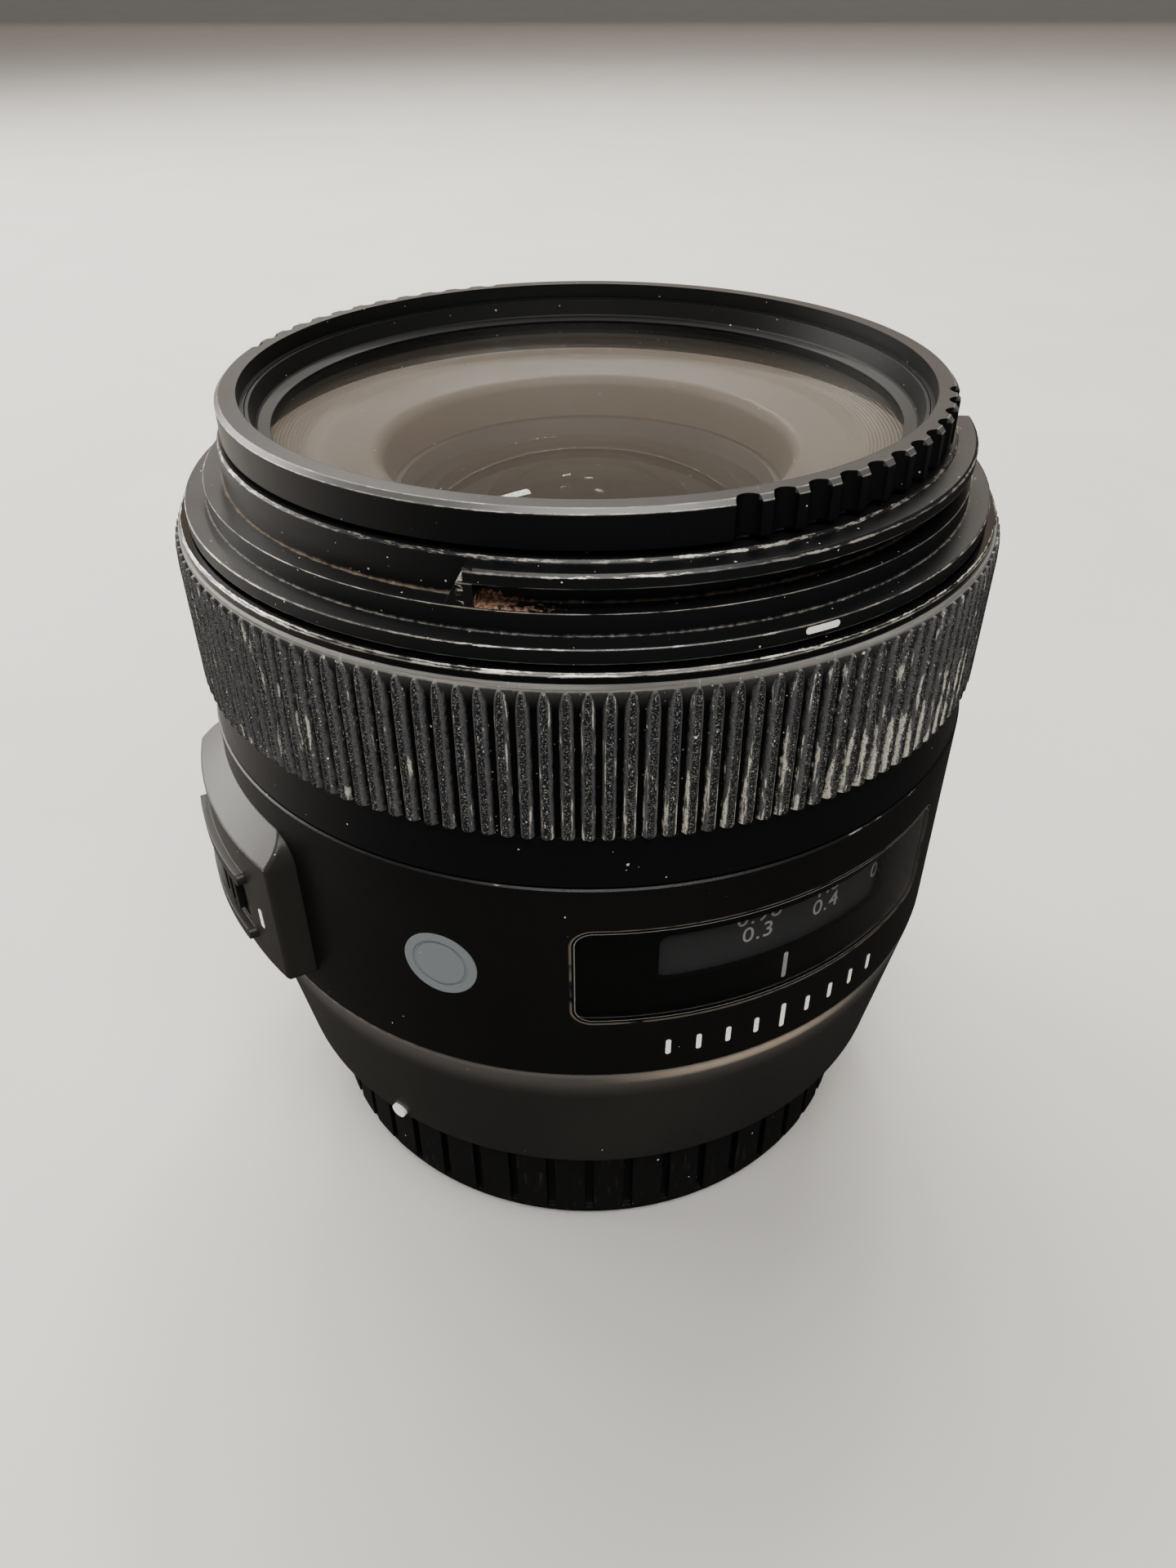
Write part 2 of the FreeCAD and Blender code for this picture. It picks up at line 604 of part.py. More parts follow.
def motor_stator():
    """Stator ring with the comb of teeth that carries the travelling wave."""
    teeth = 36
    body = ring(MOTOR_IN_R, MOTOR_OUT_R, STATOR_Z, STATOR_TOP_Z)
    gaps = [block(n * FULL / teeth, 28, 35, 0.4, STATOR_Z - 1, STATOR_Z + 1.6) for n in range(teeth)]
    return minus(body, *gaps)


def motor_spring():
    """Flat spring ring whose bent fingers press the motor together."""
    low, thick, fingers, rise = STATOR_TOP_Z, 0.35, 9, 1.15
    plate = ring(29.6, 33.0, low, low + thick)
    outline = [(-2.5, low), (2.5, low + rise), (2.5, low + rise + thick), (-2.5, low + thick)]
    bent = [radial_prism(n * FULL / fingers, outline, 30.2, 32.4) for n in range(fingers)]
    return joined(plate, *bent)


SCALE_R = 34.9


def distance_scale():
    """Thin drum with the distance marks, carried by the cam ring."""
    wall, low, top, floor_t = 0.6, 26.0, 35.6, 0.8
    return spin([(CAM_OUT_R + 0.02, low), (SCALE_R, low), (SCALE_R, top), (SCALE_R - wall, top),
                 (SCALE_R - wall, low + floor_t), (CAM_OUT_R + 0.02, low + floor_t)])


GRIP_LOW_Z = 43.0
GRIP_TOP_Z = 56.4
GRIP_SEAT_R = 35.7


def focus_ring():
    """Manual ring: front lip, grip seat, smooth tapered band, and the flange under the rollers."""
    bore = FRONT_TUBE_R + SEAM
    low = BARREL_TOP_Z + SEAM
    flange_top = ROLLER_Z - ROLLER_R - 0.01
    return spin([(bore, 57.2), (36.2, 57.2), (36.4, 57.0), (36.4, GRIP_TOP_Z), (GRIP_SEAT_R, GRIP_TOP_Z),
                 (GRIP_SEAT_R, GRIP_LOW_Z), (36.3, GRIP_LOW_Z), (36.7, low + 0.1), (36.6, low),
                 (30.6, low), (30.6, flange_top), (bore, flange_top)])


def focus_grip():
    """Rubber sleeve with rounded upright ribs and bevelled ends."""
    ribs, rib_share, floor_r = 152, 0.62, 36.5
    pitch = FULL / ribs
    outline = [point(-rib_share * pitch / 2, floor_r, GRIP_LOW_Z)]
    for rib in range(ribs):
        centre = rib * pitch
        crown = point(centre, GRIP_R, GRIP_LOW_Z)
        foot = point(centre + rib_share * pitch / 2, floor_r, GRIP_LOW_Z)
        outline.append((crown, foot))
        if rib < ribs - 1:
            outline.append(point(centre + pitch - rib_share * pitch / 2, floor_r, GRIP_LOW_Z))
    height = GRIP_TOP_Z - GRIP_LOW_Z
    sleeve = outward(face_of(outline).extrude(FreeCAD.Vector(0, 0, height)))
    outer_r = GRIP_R + 0.01
    envelope = spin([(GRIP_SEAT_R, GRIP_LOW_Z), (outer_r - 0.3, GRIP_LOW_Z), (outer_r, GRIP_LOW_Z + 0.3),
                     (outer_r, GRIP_TOP_Z - 0.9), (floor_r, GRIP_TOP_Z - 0.1),
                     (floor_r - 0.1, GRIP_TOP_Z), (GRIP_SEAT_R, GRIP_TOP_Z)])
    return sleeve.common(envelope)


# ---------------------------------------------------------------- barrel, window, switch

WINDOW_LOW_Z = 23.3
WINDOW_TOP_Z = 33.9
WINDOW_HALF = BARREL_R * math.sin(math.radians(30.1))
WINDOW_CORNER = 1.6
BADGE_AZ = TOP_AZ - 47.5
BADGE_Z = 28.4
BADGE_R = 3.3
POD_HALF = 11.8
POD_R = 39.45
PLUG_HALF = 10.4
PLUG_LOW_Z = 20.6
PLUG_TOP_Z = 33.6


def barrel_shell():
    """Main outer barrel with a shelf at the top, and openings for window, badge and switch pod."""
    inner = BARREL_R - BARREL_WALL
    body = spin([(inner, BARREL_LOW_Z), (BARREL_R - 0.15, BARREL_LOW_Z), (BARREL_R, BARREL_LOW_Z + 0.15),
                 (BARREL_R, BARREL_TOP_Z - 0.15), (BARREL_R - 0.15, BARREL_TOP_Z), (30.4, BARREL_TOP_Z),
                 (30.4, BARREL_TOP_Z - 1.8), (inner, BARREL_TOP_Z - 1.8)])
    window = rounded_prism(TOP_AZ, WINDOW_HALF, WINDOW_LOW_Z, WINDOW_TOP_Z, WINDOW_CORNER, 20, 45)
    plug = rounded_prism(POD_AZ, PLUG_HALF + 0.05, PLUG_LOW_Z - 0.05, PLUG_TOP_Z + 0.05, 1.0, 20, 45)
    badge_seat = radial_pin(BADGE_AZ, BARREL_R - 0.7, 45, BADGE_Z, BADGE_R + 0.04)
    return minus(body, window, plug, badge_seat)


def scale_window():
    """Clear curved window, flush with the barrel."""
    gap = 0.06
    return curved_plate(TOP_AZ, WINDOW_HALF - gap, WINDOW_LOW_Z + gap, WINDOW_TOP_Z - gap,
                        WINDOW_CORNER - gap, BARREL_R - 0.8, BARREL_R - 0.05)


MASK_R = BARREL_R - 1.05


def window_mask():
    """Black plate behind the window, with the opening that shows the scale."""
    gap = 0.06
    inner = BARREL_R - BARREL_WALL + 0.02
    plate = curved_plate(TOP_AZ, WINDOW_HALF - gap, WINDOW_LOW_Z + gap, WINDOW_TOP_Z - gap,
                         WINDOW_CORNER - gap, inner, MASK_R)
    view_half = MASK_R * math.sin(math.radians(18.8))
    return plate.cut(rounded_prism(TOP_AZ, view_half, 27.3, 32.3, 1.0, 20, 45))


def badge():
    """Round plain disc set in the barrel, with one fine ring cut in its face."""
    disc = radial_pin(BADGE_AZ, BARREL_R - 0.7, 45, BADGE_Z, BADGE_R)
    face_r = BARREL_R + 0.06
    groove = radial_pin(BADGE_AZ, face_r - 0.12, 45, BADGE_Z, 2.5)
    groove = groove.cut(radial_pin(BADGE_AZ, 30, 46, BADGE_Z, 2.25))
    return disc.common(ring(30, face_r, BADGE_Z - 5, BADGE_Z + 5)).cut(groove)


SWITCH_LOW_Z = 23.2
SWITCH_TOP_Z = 27.4
SWITCH_SLOT_HALF = 6.2
SWITCH_FLOOR_R = 37.8


def is_pod_rim(edge, low):
    """True for the edges round the pod's outer face and slope, which are softened."""
    middle = edge.valueAt((edge.FirstParameter + edge.LastParameter) / 2)
    return math.hypot(middle.x, middle.y) > BARREL_R + 0.4 and middle.z > low + 1


def switch_panel():
    """Pod on the side of the barrel, with two rails round the switch slot and a plug in the barrel."""
    low, top, slope_z, corner, edge = 19.5, 35.1, 32.6, 3.4, 0.45
    body = spin([(BARREL_R, low), (POD_R - 0.15, low), (POD_R, low + 0.15), (POD_R, slope_z),
                 (BARREL_R, top)], POD_AZ - 25, 50)
    body = body.common(rounded_prism(POD_AZ, POD_HALF, low - 2 * corner, top + 0.3, corner, 20, 50))
    rims = [rim for rim in body.Edges if is_pod_rim(rim, low)]
    body = body.makeFillet(edge, rims)
    plug = curved_plate(POD_AZ, PLUG_HALF, PLUG_LOW_Z, PLUG_TOP_Z, 0.95,
                        BARREL_R - BARREL_WALL + 0.02, BARREL_R + 0.5)
    rails = [curved_plate(POD_AZ, SWITCH_SLOT_HALF + 1, z - 0.6, z + 0.6, 0.55, POD_R - 0.4, POD_R + 0.75)
             for z in (22.0, 28.6)]
    slot = rounded_prism(POD_AZ, SWITCH_SLOT_HALF, SWITCH_LOW_Z, SWITCH_TOP_Z, 0.6, 30, 45)
    slot = slot.cut(ring(20, SWITCH_FLOOR_R, 20, 32))
    return minus(joined(body, plug, *rails), slot)


def mode_switch():
    """Sliding knob with raised bars, at the front end of its slot."""
    azimuth = POD_AZ + 4.2
    half, gap = 2.7, 0.06
    low, top = SWITCH_LOW_Z + gap, SWITCH_TOP_Z - gap
    base = curved_plate(azimuth, half, low, top, 0.5, SWITCH_FLOOR_R + RUN, POD_R - 0.3)
    bars = [curved_plate(azimuth + step, 0.35, low + 0.3, top - 0.3, 0.3, POD_R - 0.6, POD_R + 0.45)
            for step in (-2.4, 0, 2.4)]
    return joined(base, *bars)


# ---------------------------------------------------------------- rear

SCREW_AZ = (45, 135, 225, 315)
SCREW_R = 27.0
FLANGE_R = 30.95
FLANGE_T = 2.0
NECK_R = 21.9
LUG_R = 23.6
LUG_LOW_Z = -3.3
LUG_TOP_Z = -1.4
MARK_AZ = TOP_AZ - 61.8
BEAD_Z = 1.35
BEAD_R = 0.8


def screw_holes():
    """Clear holes for the bayonet screws."""
    return [Part.makeCylinder(1.0, 8, point(az, SCREW_R, -1), Z_AXIS) for az in SCREW_AZ]


def mount_skirt():
    """Tapered rear barrel: shoulder, cone, web above the metal flange, and a lip inside the main barrel."""
    lip_r = BARREL_R - BARREL_WALL - 0.05
    web_low = FLANGE_T + 0.05
    body = spin([(lip_r, 16.5), (36.35, 16.5), ((36.68, 16.35), (36.75, 15.95)), (SKIRT_LOW_R + 0.2, 0.6),
                 (SKIRT_LOW_R, SKIRT_LOW_Z), (FLANGE_R + 0.1, SKIRT_LOW_Z), (FLANGE_R + 0.1, web_low),
                 (NECK_R + 0.6, web_low), (NECK_R + 0.6, 4.05), (32.9, 4.05), (34.9, 15.0), (33.8, 15.6),
                 (33.8, 18.4), (lip_r, 18.4)])
    bead_seat = radial_pin(MARK_AZ, 33.0, 40, BEAD_Z, BEAD_R + 0.02)
    return minus(body, bead_seat, *screw_holes())


def bayonet_mount():
    """Metal rear mount: flange, neck and three lugs."""
    body = spin([(THROAT_R, -4.9), (NECK_R - 0.2, -4.9), (NECK_R, -4.7), (NECK_R, 0), (FLANGE_R - 0.15, 0),
                 (FLANGE_R, 0.15), (FLANGE_R, FLANGE_T), (NECK_R + 0.5, FLANGE_T), (NECK_R + 0.5, 4.5),
                 (THROAT_R, 4.5)])
    lugs = [ring(NECK_R - 0.3, LUG_R, LUG_LOW_Z, LUG_TOP_Z, TOP_AZ - 30 + n * 120, 60) for n in range(3)]
    sinks = [Part.makeCone(2.0, 1.0, 1.2, point(az, SCREW_R, 0), Z_AXIS) for az in SCREW_AZ]
    return minus(joined(body, *lugs), *sinks, *screw_holes())


def mount_screws():
    """Four countersunk screws with cross recesses."""
    screws = []
    for az in SCREW_AZ:
        head = Part.makeCone(1.85, 0.95, 1.1, point(az, SCREW_R, 0.08), Z_AXIS)
        shank = Part.makeCylinder(0.95, 4.4, point(az, SCREW_R, 1.1), Z_AXIS)
        cross = [Part.makeBox(2 * a, 2 * b, 0.8, point(az, SCREW_R, -0.1) - FreeCAD.Vector(a, b, 0))
                 for a, b in ((0.9, 0.2), (0.2, 0.9))]
        screws.append(minus(joined(head, shank), *cross))
    return Part.makeCompound(screws)


CONTACTS = 8
CONTACT_R = 19.1
CONTACT_STEP = 6.4
CONTACT_R_PIN = 0.55


def contact_places():
    """Azimuths of the contact pins."""
    return [TOP_AZ + (n - (CONTACTS - 1) / 2) * CONTACT_STEP for n in range(CONTACTS)]


def contact_block():
    """Plastic block inside the throat that holds the contacts."""
    body = ring(17.95, THROAT_R - 0.02, -4.5, 2.5, TOP_AZ - 28, 56)
    holes = [Part.makeCylinder(CONTACT_R_PIN + 0.01, 3, point(az, CONTACT_R, -5), Z_AXIS)
             for az in contact_places()]
    return minus(body, *holes)


def contact_pins():
    """Contact pins that stand a little proud of their block."""
    return Part.makeCompound([Part.makeCylinder(CONTACT_R_PIN, 2.8, point(az, CONTACT_R, -4.8), Z_AXIS)
                              for az in contact_places()])


CHIPS = ((-80, 2.0), (-45, 3.2), (-5, 2.4), (35, 3.6), (70, 1.6), (105, 2.8), (135, 1.8))  # azimuth, half


def main_board():
    """Ring-shaped circuit board with its larger chips."""
    low, thick = 5.65, 0.9
    board = ring(27.6, 31.4, low, low + thick, -100, 250)
    chips = [block(az, 28.2, 30.9, half, low + thick - 0.1, low + thick + 1.1)
             for az, half in CHIPS]
    return joined(board, *chips)


def rear_cap():
    """Push-and-twist rear cap with upright finger grooves."""
    grooves, groove_half_az, depth = 48, 0.85, 0.8
    top, wall_low = -0.15, CAP_LOW_Z + 1.3
    pitch = FULL / grooves
    outline = [point(groove_half_az, CAP_R, wall_low)]
    for n in range(grooves):
        start = n * pitch + groove_half_az
        end = (n + 1) * pitch - groove_half_az
        outline.append((point((start + end) / 2, CAP_R, wall_low), point(end, CAP_R, wall_low)))
        outline.append(point(end, CAP_R - depth, wall_low))
        outline.append(point(end + 2 * groove_half_az, CAP_R - depth, wall_low))
        if n < grooves - 1:
            outline.append(point(end + 2 * groove_half_az, CAP_R, wall_low))
    wall = outward(face_of(outline).extrude(FreeCAD.Vector(0, 0, top - wall_low)))
    wall = wall.common(spin([(0, wall_low), (CAP_R + 1, wall_low), (CAP_R + 1, top - 1.3),
                             (CAP_R - 0.4, top), (0, top)]))
    base = spin([(0, CAP_LOW_Z), (CAP_R - 1.0, CAP_LOW_Z), (CAP_R - 0.3, CAP_LOW_Z + 0.6),
                 (CAP_R - 0.3, wall_low), (0, wall_low)])
    hollow = spin([(0, CAP_LOW_Z + 1.8), (26.5, CAP_LOW_Z + 1.8), (27.8, CAP_LOW_Z + 3), (27.8, -2.6),
                   (25.2, -2.0), (25.2, 1), (0, 1)])
    hooks = [ring(NECK_R + 0.2, 26, LUG_TOP_Z + 0.1, top, TOP_AZ - 24 + n * 120, 48) for n in range(3)]
    return joined(joined(wall, base).cut(hollow), *hooks)


# ---------------------------------------------------------------- white marks

def paint_marks():
    """White marks: hood mark, focus index, a row of plain bars, switch mark and mount bead."""
    paint = 0.04
    marks = [curved_plate(TOP_AZ - 0.5, 1.45, 57.85, 58.4, 0.27, BAND_R, BAND_R + paint)]
    marks.append(curved_plate(TOP_AZ, 0.22, 23.9, 26.9, 0.2, MASK_R, MASK_R + paint))
    bars, bar_step = 9, 4.3
    for n in range(bars):
        middle = n == bars // 2
        low, top = (18.2, 21.1) if middle else (18.8, 20.6)
        az = TOP_AZ + (n - bars // 2) * bar_step
        marks.append(curved_plate(az, 0.24, low, top, 0.2, BARREL_R, BARREL_R + paint))
    marks.append(curved_plate(POD_AZ + 13.2, 0.3, 24.2, 26.4, 0.25, POD_R, POD_R + paint))
    bead = radial_pin(MARK_AZ, 33.1, 34.7, BEAD_Z, BEAD_R)
    marks.append(bead)
    return Part.makeCompound(marks)


# ---------------------------------------------------------------- all nodes

PARTS = {
    "filter_frame": filter_frame,
    "filter_glass": filter_glass,
    "filter_retainer": filter_retainer,
    "front_barrel": front_barrel,
    "name_ring": name_ring,
    "front_group_cell": front_group_cell,
    "front_retainer": front_retainer,
    "focus_carriage": focus_carriage,
    "rear_lens_cell": rear_lens_cell,
    "rear_retainer": rear_retainer,
    "iris_housing": iris_housing,
    "iris_cover": iris_cover,
    "iris_drive_ring": iris_drive_ring,
    "aperture_lever": aperture_lever,
    "aperture_spring": aperture_spring,
    "guide_tube": guide_tube,
    "cam_ring": cam_ring,
    "cam_followers": cam_followers,
    "focus_drive_ring": focus_drive_ring,
    "motor_rotor": motor_rotor,
    "motor_stator": motor_stator,
    "motor_spring": motor_spring,
    "distance_scale": distance_scale,
    "focus_ring": focus_ring,
    "focus_grip": focus_grip,
    "barrel_shell": barrel_shell,
    "scale_window": scale_window,
    "window_mask": window_mask,
    "badge": badge,
    "switch_panel": switch_panel,
    "mode_switch": mode_switch,
    "mount_skirt": mount_skirt,
    "bayonet_mount": bayonet_mount,
    "mount_screws": mount_screws,
    "contact_block": contact_block,
    "contact_pins": contact_pins,
    "main_board": main_board,
    "rear_cap": rear_cap,
    "paint_marks": paint_marks,
}


def all_parts():
    """Every node's shape by name."""
    shapes = {name: make() for name, make in PARTS.items()}
    shapes.update(lens_elements())
    for number in range(BLADES):
        shapes[f"iris_blade_{number + 1}"] = iris_blade(number)
    for number, azimuth in enumerate(ROLLER_AZ):
        shapes[f"drive_roller_{number + 1}"] = drive_roller(azimuth)
    return shapes


os.makedirs("parts", exist_ok=True)
for node, shape in all_parts().items():
    shape.exportStep(f"parts/{node}.step")
    print(node, len(shape.Solids), shape.isValid(), round(shape.Volume, 1))
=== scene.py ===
import math

import bpy
import numpy as np
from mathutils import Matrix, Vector


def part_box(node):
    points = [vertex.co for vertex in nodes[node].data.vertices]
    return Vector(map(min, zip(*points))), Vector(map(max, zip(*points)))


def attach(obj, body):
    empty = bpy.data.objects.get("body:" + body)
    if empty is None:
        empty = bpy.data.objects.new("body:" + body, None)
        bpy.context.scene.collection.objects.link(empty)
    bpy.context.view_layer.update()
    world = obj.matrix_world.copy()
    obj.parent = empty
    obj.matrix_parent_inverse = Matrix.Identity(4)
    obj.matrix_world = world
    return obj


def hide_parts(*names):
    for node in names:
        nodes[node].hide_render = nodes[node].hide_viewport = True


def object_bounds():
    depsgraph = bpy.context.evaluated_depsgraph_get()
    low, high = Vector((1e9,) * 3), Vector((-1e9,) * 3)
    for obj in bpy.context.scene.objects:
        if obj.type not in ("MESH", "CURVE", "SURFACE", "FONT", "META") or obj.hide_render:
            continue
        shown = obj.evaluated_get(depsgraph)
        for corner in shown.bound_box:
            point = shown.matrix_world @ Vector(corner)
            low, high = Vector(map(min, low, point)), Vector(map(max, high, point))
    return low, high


# A used autofocus prime lens, standing on its rear cap under soft studio light.
# Shapes come from the CAD frame; this script adds the ribbed grip, the scale's numbers, and all finishes.

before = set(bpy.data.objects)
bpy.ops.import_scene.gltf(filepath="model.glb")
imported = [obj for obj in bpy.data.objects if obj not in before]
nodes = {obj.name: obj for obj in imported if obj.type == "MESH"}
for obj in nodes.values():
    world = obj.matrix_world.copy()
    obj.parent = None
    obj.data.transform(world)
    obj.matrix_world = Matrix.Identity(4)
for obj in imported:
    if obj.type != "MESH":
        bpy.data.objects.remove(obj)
cad_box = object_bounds()

MM = 0.001                       # one millimetre in Blender's metres
TOP_AZ = 27.9                    # azimuth of the lens's own top, degrees from -Y towards +X
RIBS = 152                       # ribs round the grip
RIB_TIP = 0.45                   # smooth band above the ribs' tips
RIB_ARCH = 2.1                   # length over which a rib narrows to its tip


def radius_of(node):
    """Outer radius of a round node, in millimetres."""
    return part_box(node)[1].x / MM


def low_of(node):
    """Height of a node's underside, in millimetres."""
    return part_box(node)[0].z / MM


def top_of(node):
    """Height of a node's top, in millimetres."""
    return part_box(node)[1].z / MM


# ---------------------------------------------------------------- material builder

class Look:
    """One procedural material, built up in layers. Lengths are millimetres of the frame."""

    def __init__(self, name, colour, roughness, metallic=0.0, specular=0.5):
        self.material = bpy.data.materials.new(name)
        self.material.use_nodes = True
        self.tree = self.material.node_tree
        self.shader = self.tree.nodes["Principled BSDF"]
        self.shader.inputs["Specular IOR Level"].default_value = specular
        self.colour = colour
        self.roughness = roughness
        self.metallic = metallic
        self.height = 0.0
        self.soft_edge = 0.0
        coordinates = self.tree.nodes.new("ShaderNodeTexCoord").outputs["Object"]
        self.place = self.scaled(coordinates, (1 / MM,) * 3)
        split = self.tree.nodes.new("ShaderNodeSeparateXYZ")
        self.tree.links.new(self.place, split.inputs[0])
        self.x, self.y, self.z = split.outputs
        self.r = self.math("SQRT", self.math("ADD", self.math("MULTIPLY", self.x, self.x),
                                             self.math("MULTIPLY", self.y, self.y)))
        self.azimuth = self.math("ARCTAN2", self.x, self.math("MULTIPLY", self.y, -1))

    def put(self, socket, value):
        """Links a value to a socket, or sets it."""
        if isinstance(value, bpy.types.NodeSocket):
            self.tree.links.new(value, socket)
        elif isinstance(value, tuple) and len(value) == 3 and socket.type == "RGBA":
            socket.default_value = (*value, 1)
        else:
            socket.default_value = value

    def math(self, operation, a, b=0.0, clamp=False):
        node = self.tree.nodes.new("ShaderNodeMath")
        node.operation = operation
        node.use_clamp = clamp
        self.put(node.inputs[0], a)
        self.put(node.inputs[1], b)
        return node.outputs[0]

    def scaled(self, vector, factors):
        node = self.tree.nodes.new("ShaderNodeVectorMath")
        node.operation = "MULTIPLY"
        self.put(node.inputs[0], vector)
        self.put(node.inputs[1], factors)
        return node.outputs[0]

    def vector(self, x, y, z):
        node = self.tree.nodes.new("ShaderNodeCombineXYZ")
        for socket, value in zip(node.inputs, (x, y, z)):
            self.put(socket, value)
        return node.outputs[0]

    def smooth(self, value, low, high):
        """0 below low, 1 above high, smooth between; with low above high it falls instead."""
        node = self.tree.nodes.new("ShaderNodeMapRange")
        node.interpolation_type = "SMOOTHSTEP"
        rising = low < high
        self.put(node.inputs["Value"], value)
        self.put(node.inputs["From Min"], min(low, high))
        self.put(node.inputs["From Max"], max(low, high))
        self.put(node.inputs["To Min"], 0.0 if rising else 1.0)
        self.put(node.inputs["To Max"], 1.0 if rising else 0.0)
        return node.outputs["Result"]

    def blend(self, factor, a, b):
        """Number a where factor is 0, b where it is 1."""
        node = self.tree.nodes.new("ShaderNodeMix")
        self.put(node.inputs[0], factor)
        self.put(node.inputs[2], a)
        self.put(node.inputs[3], b)
        return node.outputs[0]

    def blend_colour(self, factor, a, b):
        node = self.tree.nodes.new("ShaderNodeMix")
        node.data_type = "RGBA"
        self.put(node.inputs[0], factor)
        self.put(node.inputs[6], a)
        self.put(node.inputs[7], b)
        return node.outputs[2]

    def noise(self, scale, detail=3.0, vector=None, rough=0.55):
        """Noise with scale features per millimetre, about 0.5 on average."""
        node = self.tree.nodes.new("ShaderNodeTexNoise")
        self.put(node.inputs["Vector"], vector or self.place)
        self.put(node.inputs["Scale"], scale)
        self.put(node.inputs["Detail"], detail)
        self.put(node.inputs["Roughness"], rough)
        return node.outputs["Fac"]

    def round_streaks(self, across, along, detail=3.0):
        """Noise drawn out round the axis, as turning leaves it."""
        level = self.math("MULTIPLY", self.math("ADD", self.z, self.r), across)
        vector = self.vector(self.math("MULTIPLY", self.x, along), self.math("MULTIPLY", self.y, along), level)
        return self.noise(1.0, detail, vector)

    def upright_streaks(self, across, along, detail=3.0):
        """Noise drawn out along the axis."""
        return self.noise(1.0, detail, self.scaled(self.place, (across, across, along)))

    def near_circle(self, r, z, width):
        """1 on a circle round the axis, falling to 0 at a distance."""
        dr = self.math("SUBTRACT", self.r, r)
        dz = self.math("SUBTRACT", self.z, z)
        distance = self.math("SQRT", self.math("ADD", self.math("MULTIPLY", dr, dr),
                                               self.math("MULTIPLY", dz, dz)))
        return self.math("SUBTRACT", 1.0, self.math("DIVIDE", distance, width), clamp=True)

    def between(self, value, low, high, soft):
        """1 where a value lies between two limits."""
        return self.math("MULTIPLY", self.smooth(value, low - soft, low + soft),
                         self.smooth(value, high + soft, high - soft))

    def chipped(self, near, amount, scale=0.6):
        """Ragged wear where near is high, in flakes drawn out round the axis: amount 0 is a trace, 1 is all."""
        level = self.math("MULTIPLY", self.math("SUBTRACT", self.z, self.r), 1.6 * scale)
        around = (self.math("MULTIPLY", self.x, 0.45 * scale), self.math("MULTIPLY", self.y, 0.45 * scale))
        ragged = self.noise(1.0, 7.0, self.vector(*around, level), 0.72)
        level = self.math("ADD", near, self.math("MULTIPLY", self.math("SUBTRACT", ragged, 0.5), 2.2))
        level = self.math("MULTIPLY", level, self.smooth(near, 0.0, 0.15))
        return self.smooth(level, 1.15 - amount, 1.3 - amount)

    def layer(self, mask, colour=None, roughness=None, metallic=None):
        """Lays a finish over what is there, where the mask is 1."""
        if colour is not None:
            self.colour = self.blend_colour(mask, self.colour, colour)
        if roughness is not None:
            self.roughness = self.blend(mask, self.roughness, roughness)
        if metallic is not None:
            self.metallic = self.blend(mask, self.metallic, metallic)

    def raise_by(self, amount, value):
        """Adds relief: value times amount, in millimetres."""
        self.height = self.math("ADD", self.height, self.math("MULTIPLY", value, amount))

    def grain(self, scale, depth, detail=2.0):
        """Fine relief all over, as from blasting or a moulding tool."""
        self.raise_by(depth, self.noise(scale, detail))

    def smudges(self, change, scale=0.12):
        """Slow changes of gloss and shade from handling."""
        patches = self.math("SUBTRACT", self.noise(scale, 4.0), 0.5)
        self.roughness = self.math("ADD", self.roughness, self.math("MULTIPLY", patches, change), clamp=True)

    def specks(self, spacing, size, share, colour=(0.55, 0.52, 0.46)):
        """Separate grains of dust."""
        node = self.tree.nodes.new("ShaderNodeTexVoronoi")
        self.put(node.inputs["Vector"], self.place)
        self.put(node.inputs["Scale"], 1 / spacing)
        pick = self.tree.nodes.new("ShaderNodeSeparateXYZ")
        self.tree.links.new(node.outputs["Color"], pick.inputs[0])
        chosen = self.smooth(pick.outputs[0], 1 - share, 1 - share + 0.01)
        reach = self.math("MULTIPLY", pick.outputs[1], size / spacing)
        ragged = self.math("ADD", node.outputs["Distance"],
                           self.math("MULTIPLY", self.math("SUBTRACT", self.noise(1.3 / size, 1.0), 0.5),
                                     1.2 * size / spacing))
        spot = self.math("LESS_THAN", ragged, reach)
        self.layer(self.math("MULTIPLY", spot, chosen), colour, 0.9, 0.0)

    def wear(self, r, z, width, amount, colour=(0.55, 0.52, 0.47), scale=0.6):
        """Rubbed bright edge round the axis: a thin line with chips along it."""
        line = self.smooth(self.near_circle(r, z, 0.12), 0.1, 0.7)
        line = self.math("MULTIPLY", line, self.smooth(self.noise(0.35, 4.0), 0.30, 0.62))
        stretch = self.smooth(self.noise(0.09, 3.0, self.vector(self.x, self.y, 40.0 * z)), 0.36, 0.60)
        self.layer(self.math("MULTIPLY", line, 0.25 + 0.6 * amount), tuple(0.6 * c for c in colour), 0.4, 0.3)
        mask = self.chipped(self.near_circle(r, z, width), amount, scale)
        mask = self.math("MULTIPLY", mask, self.math("ADD", 0.25, self.math("MULTIPLY", stretch, 0.75)))
        self.layer(mask, colour, 0.38, 0.45)

    def bevel(self, width):
        """Catches light on sharp edges, as a small round edge does."""
        self.soft_edge = width

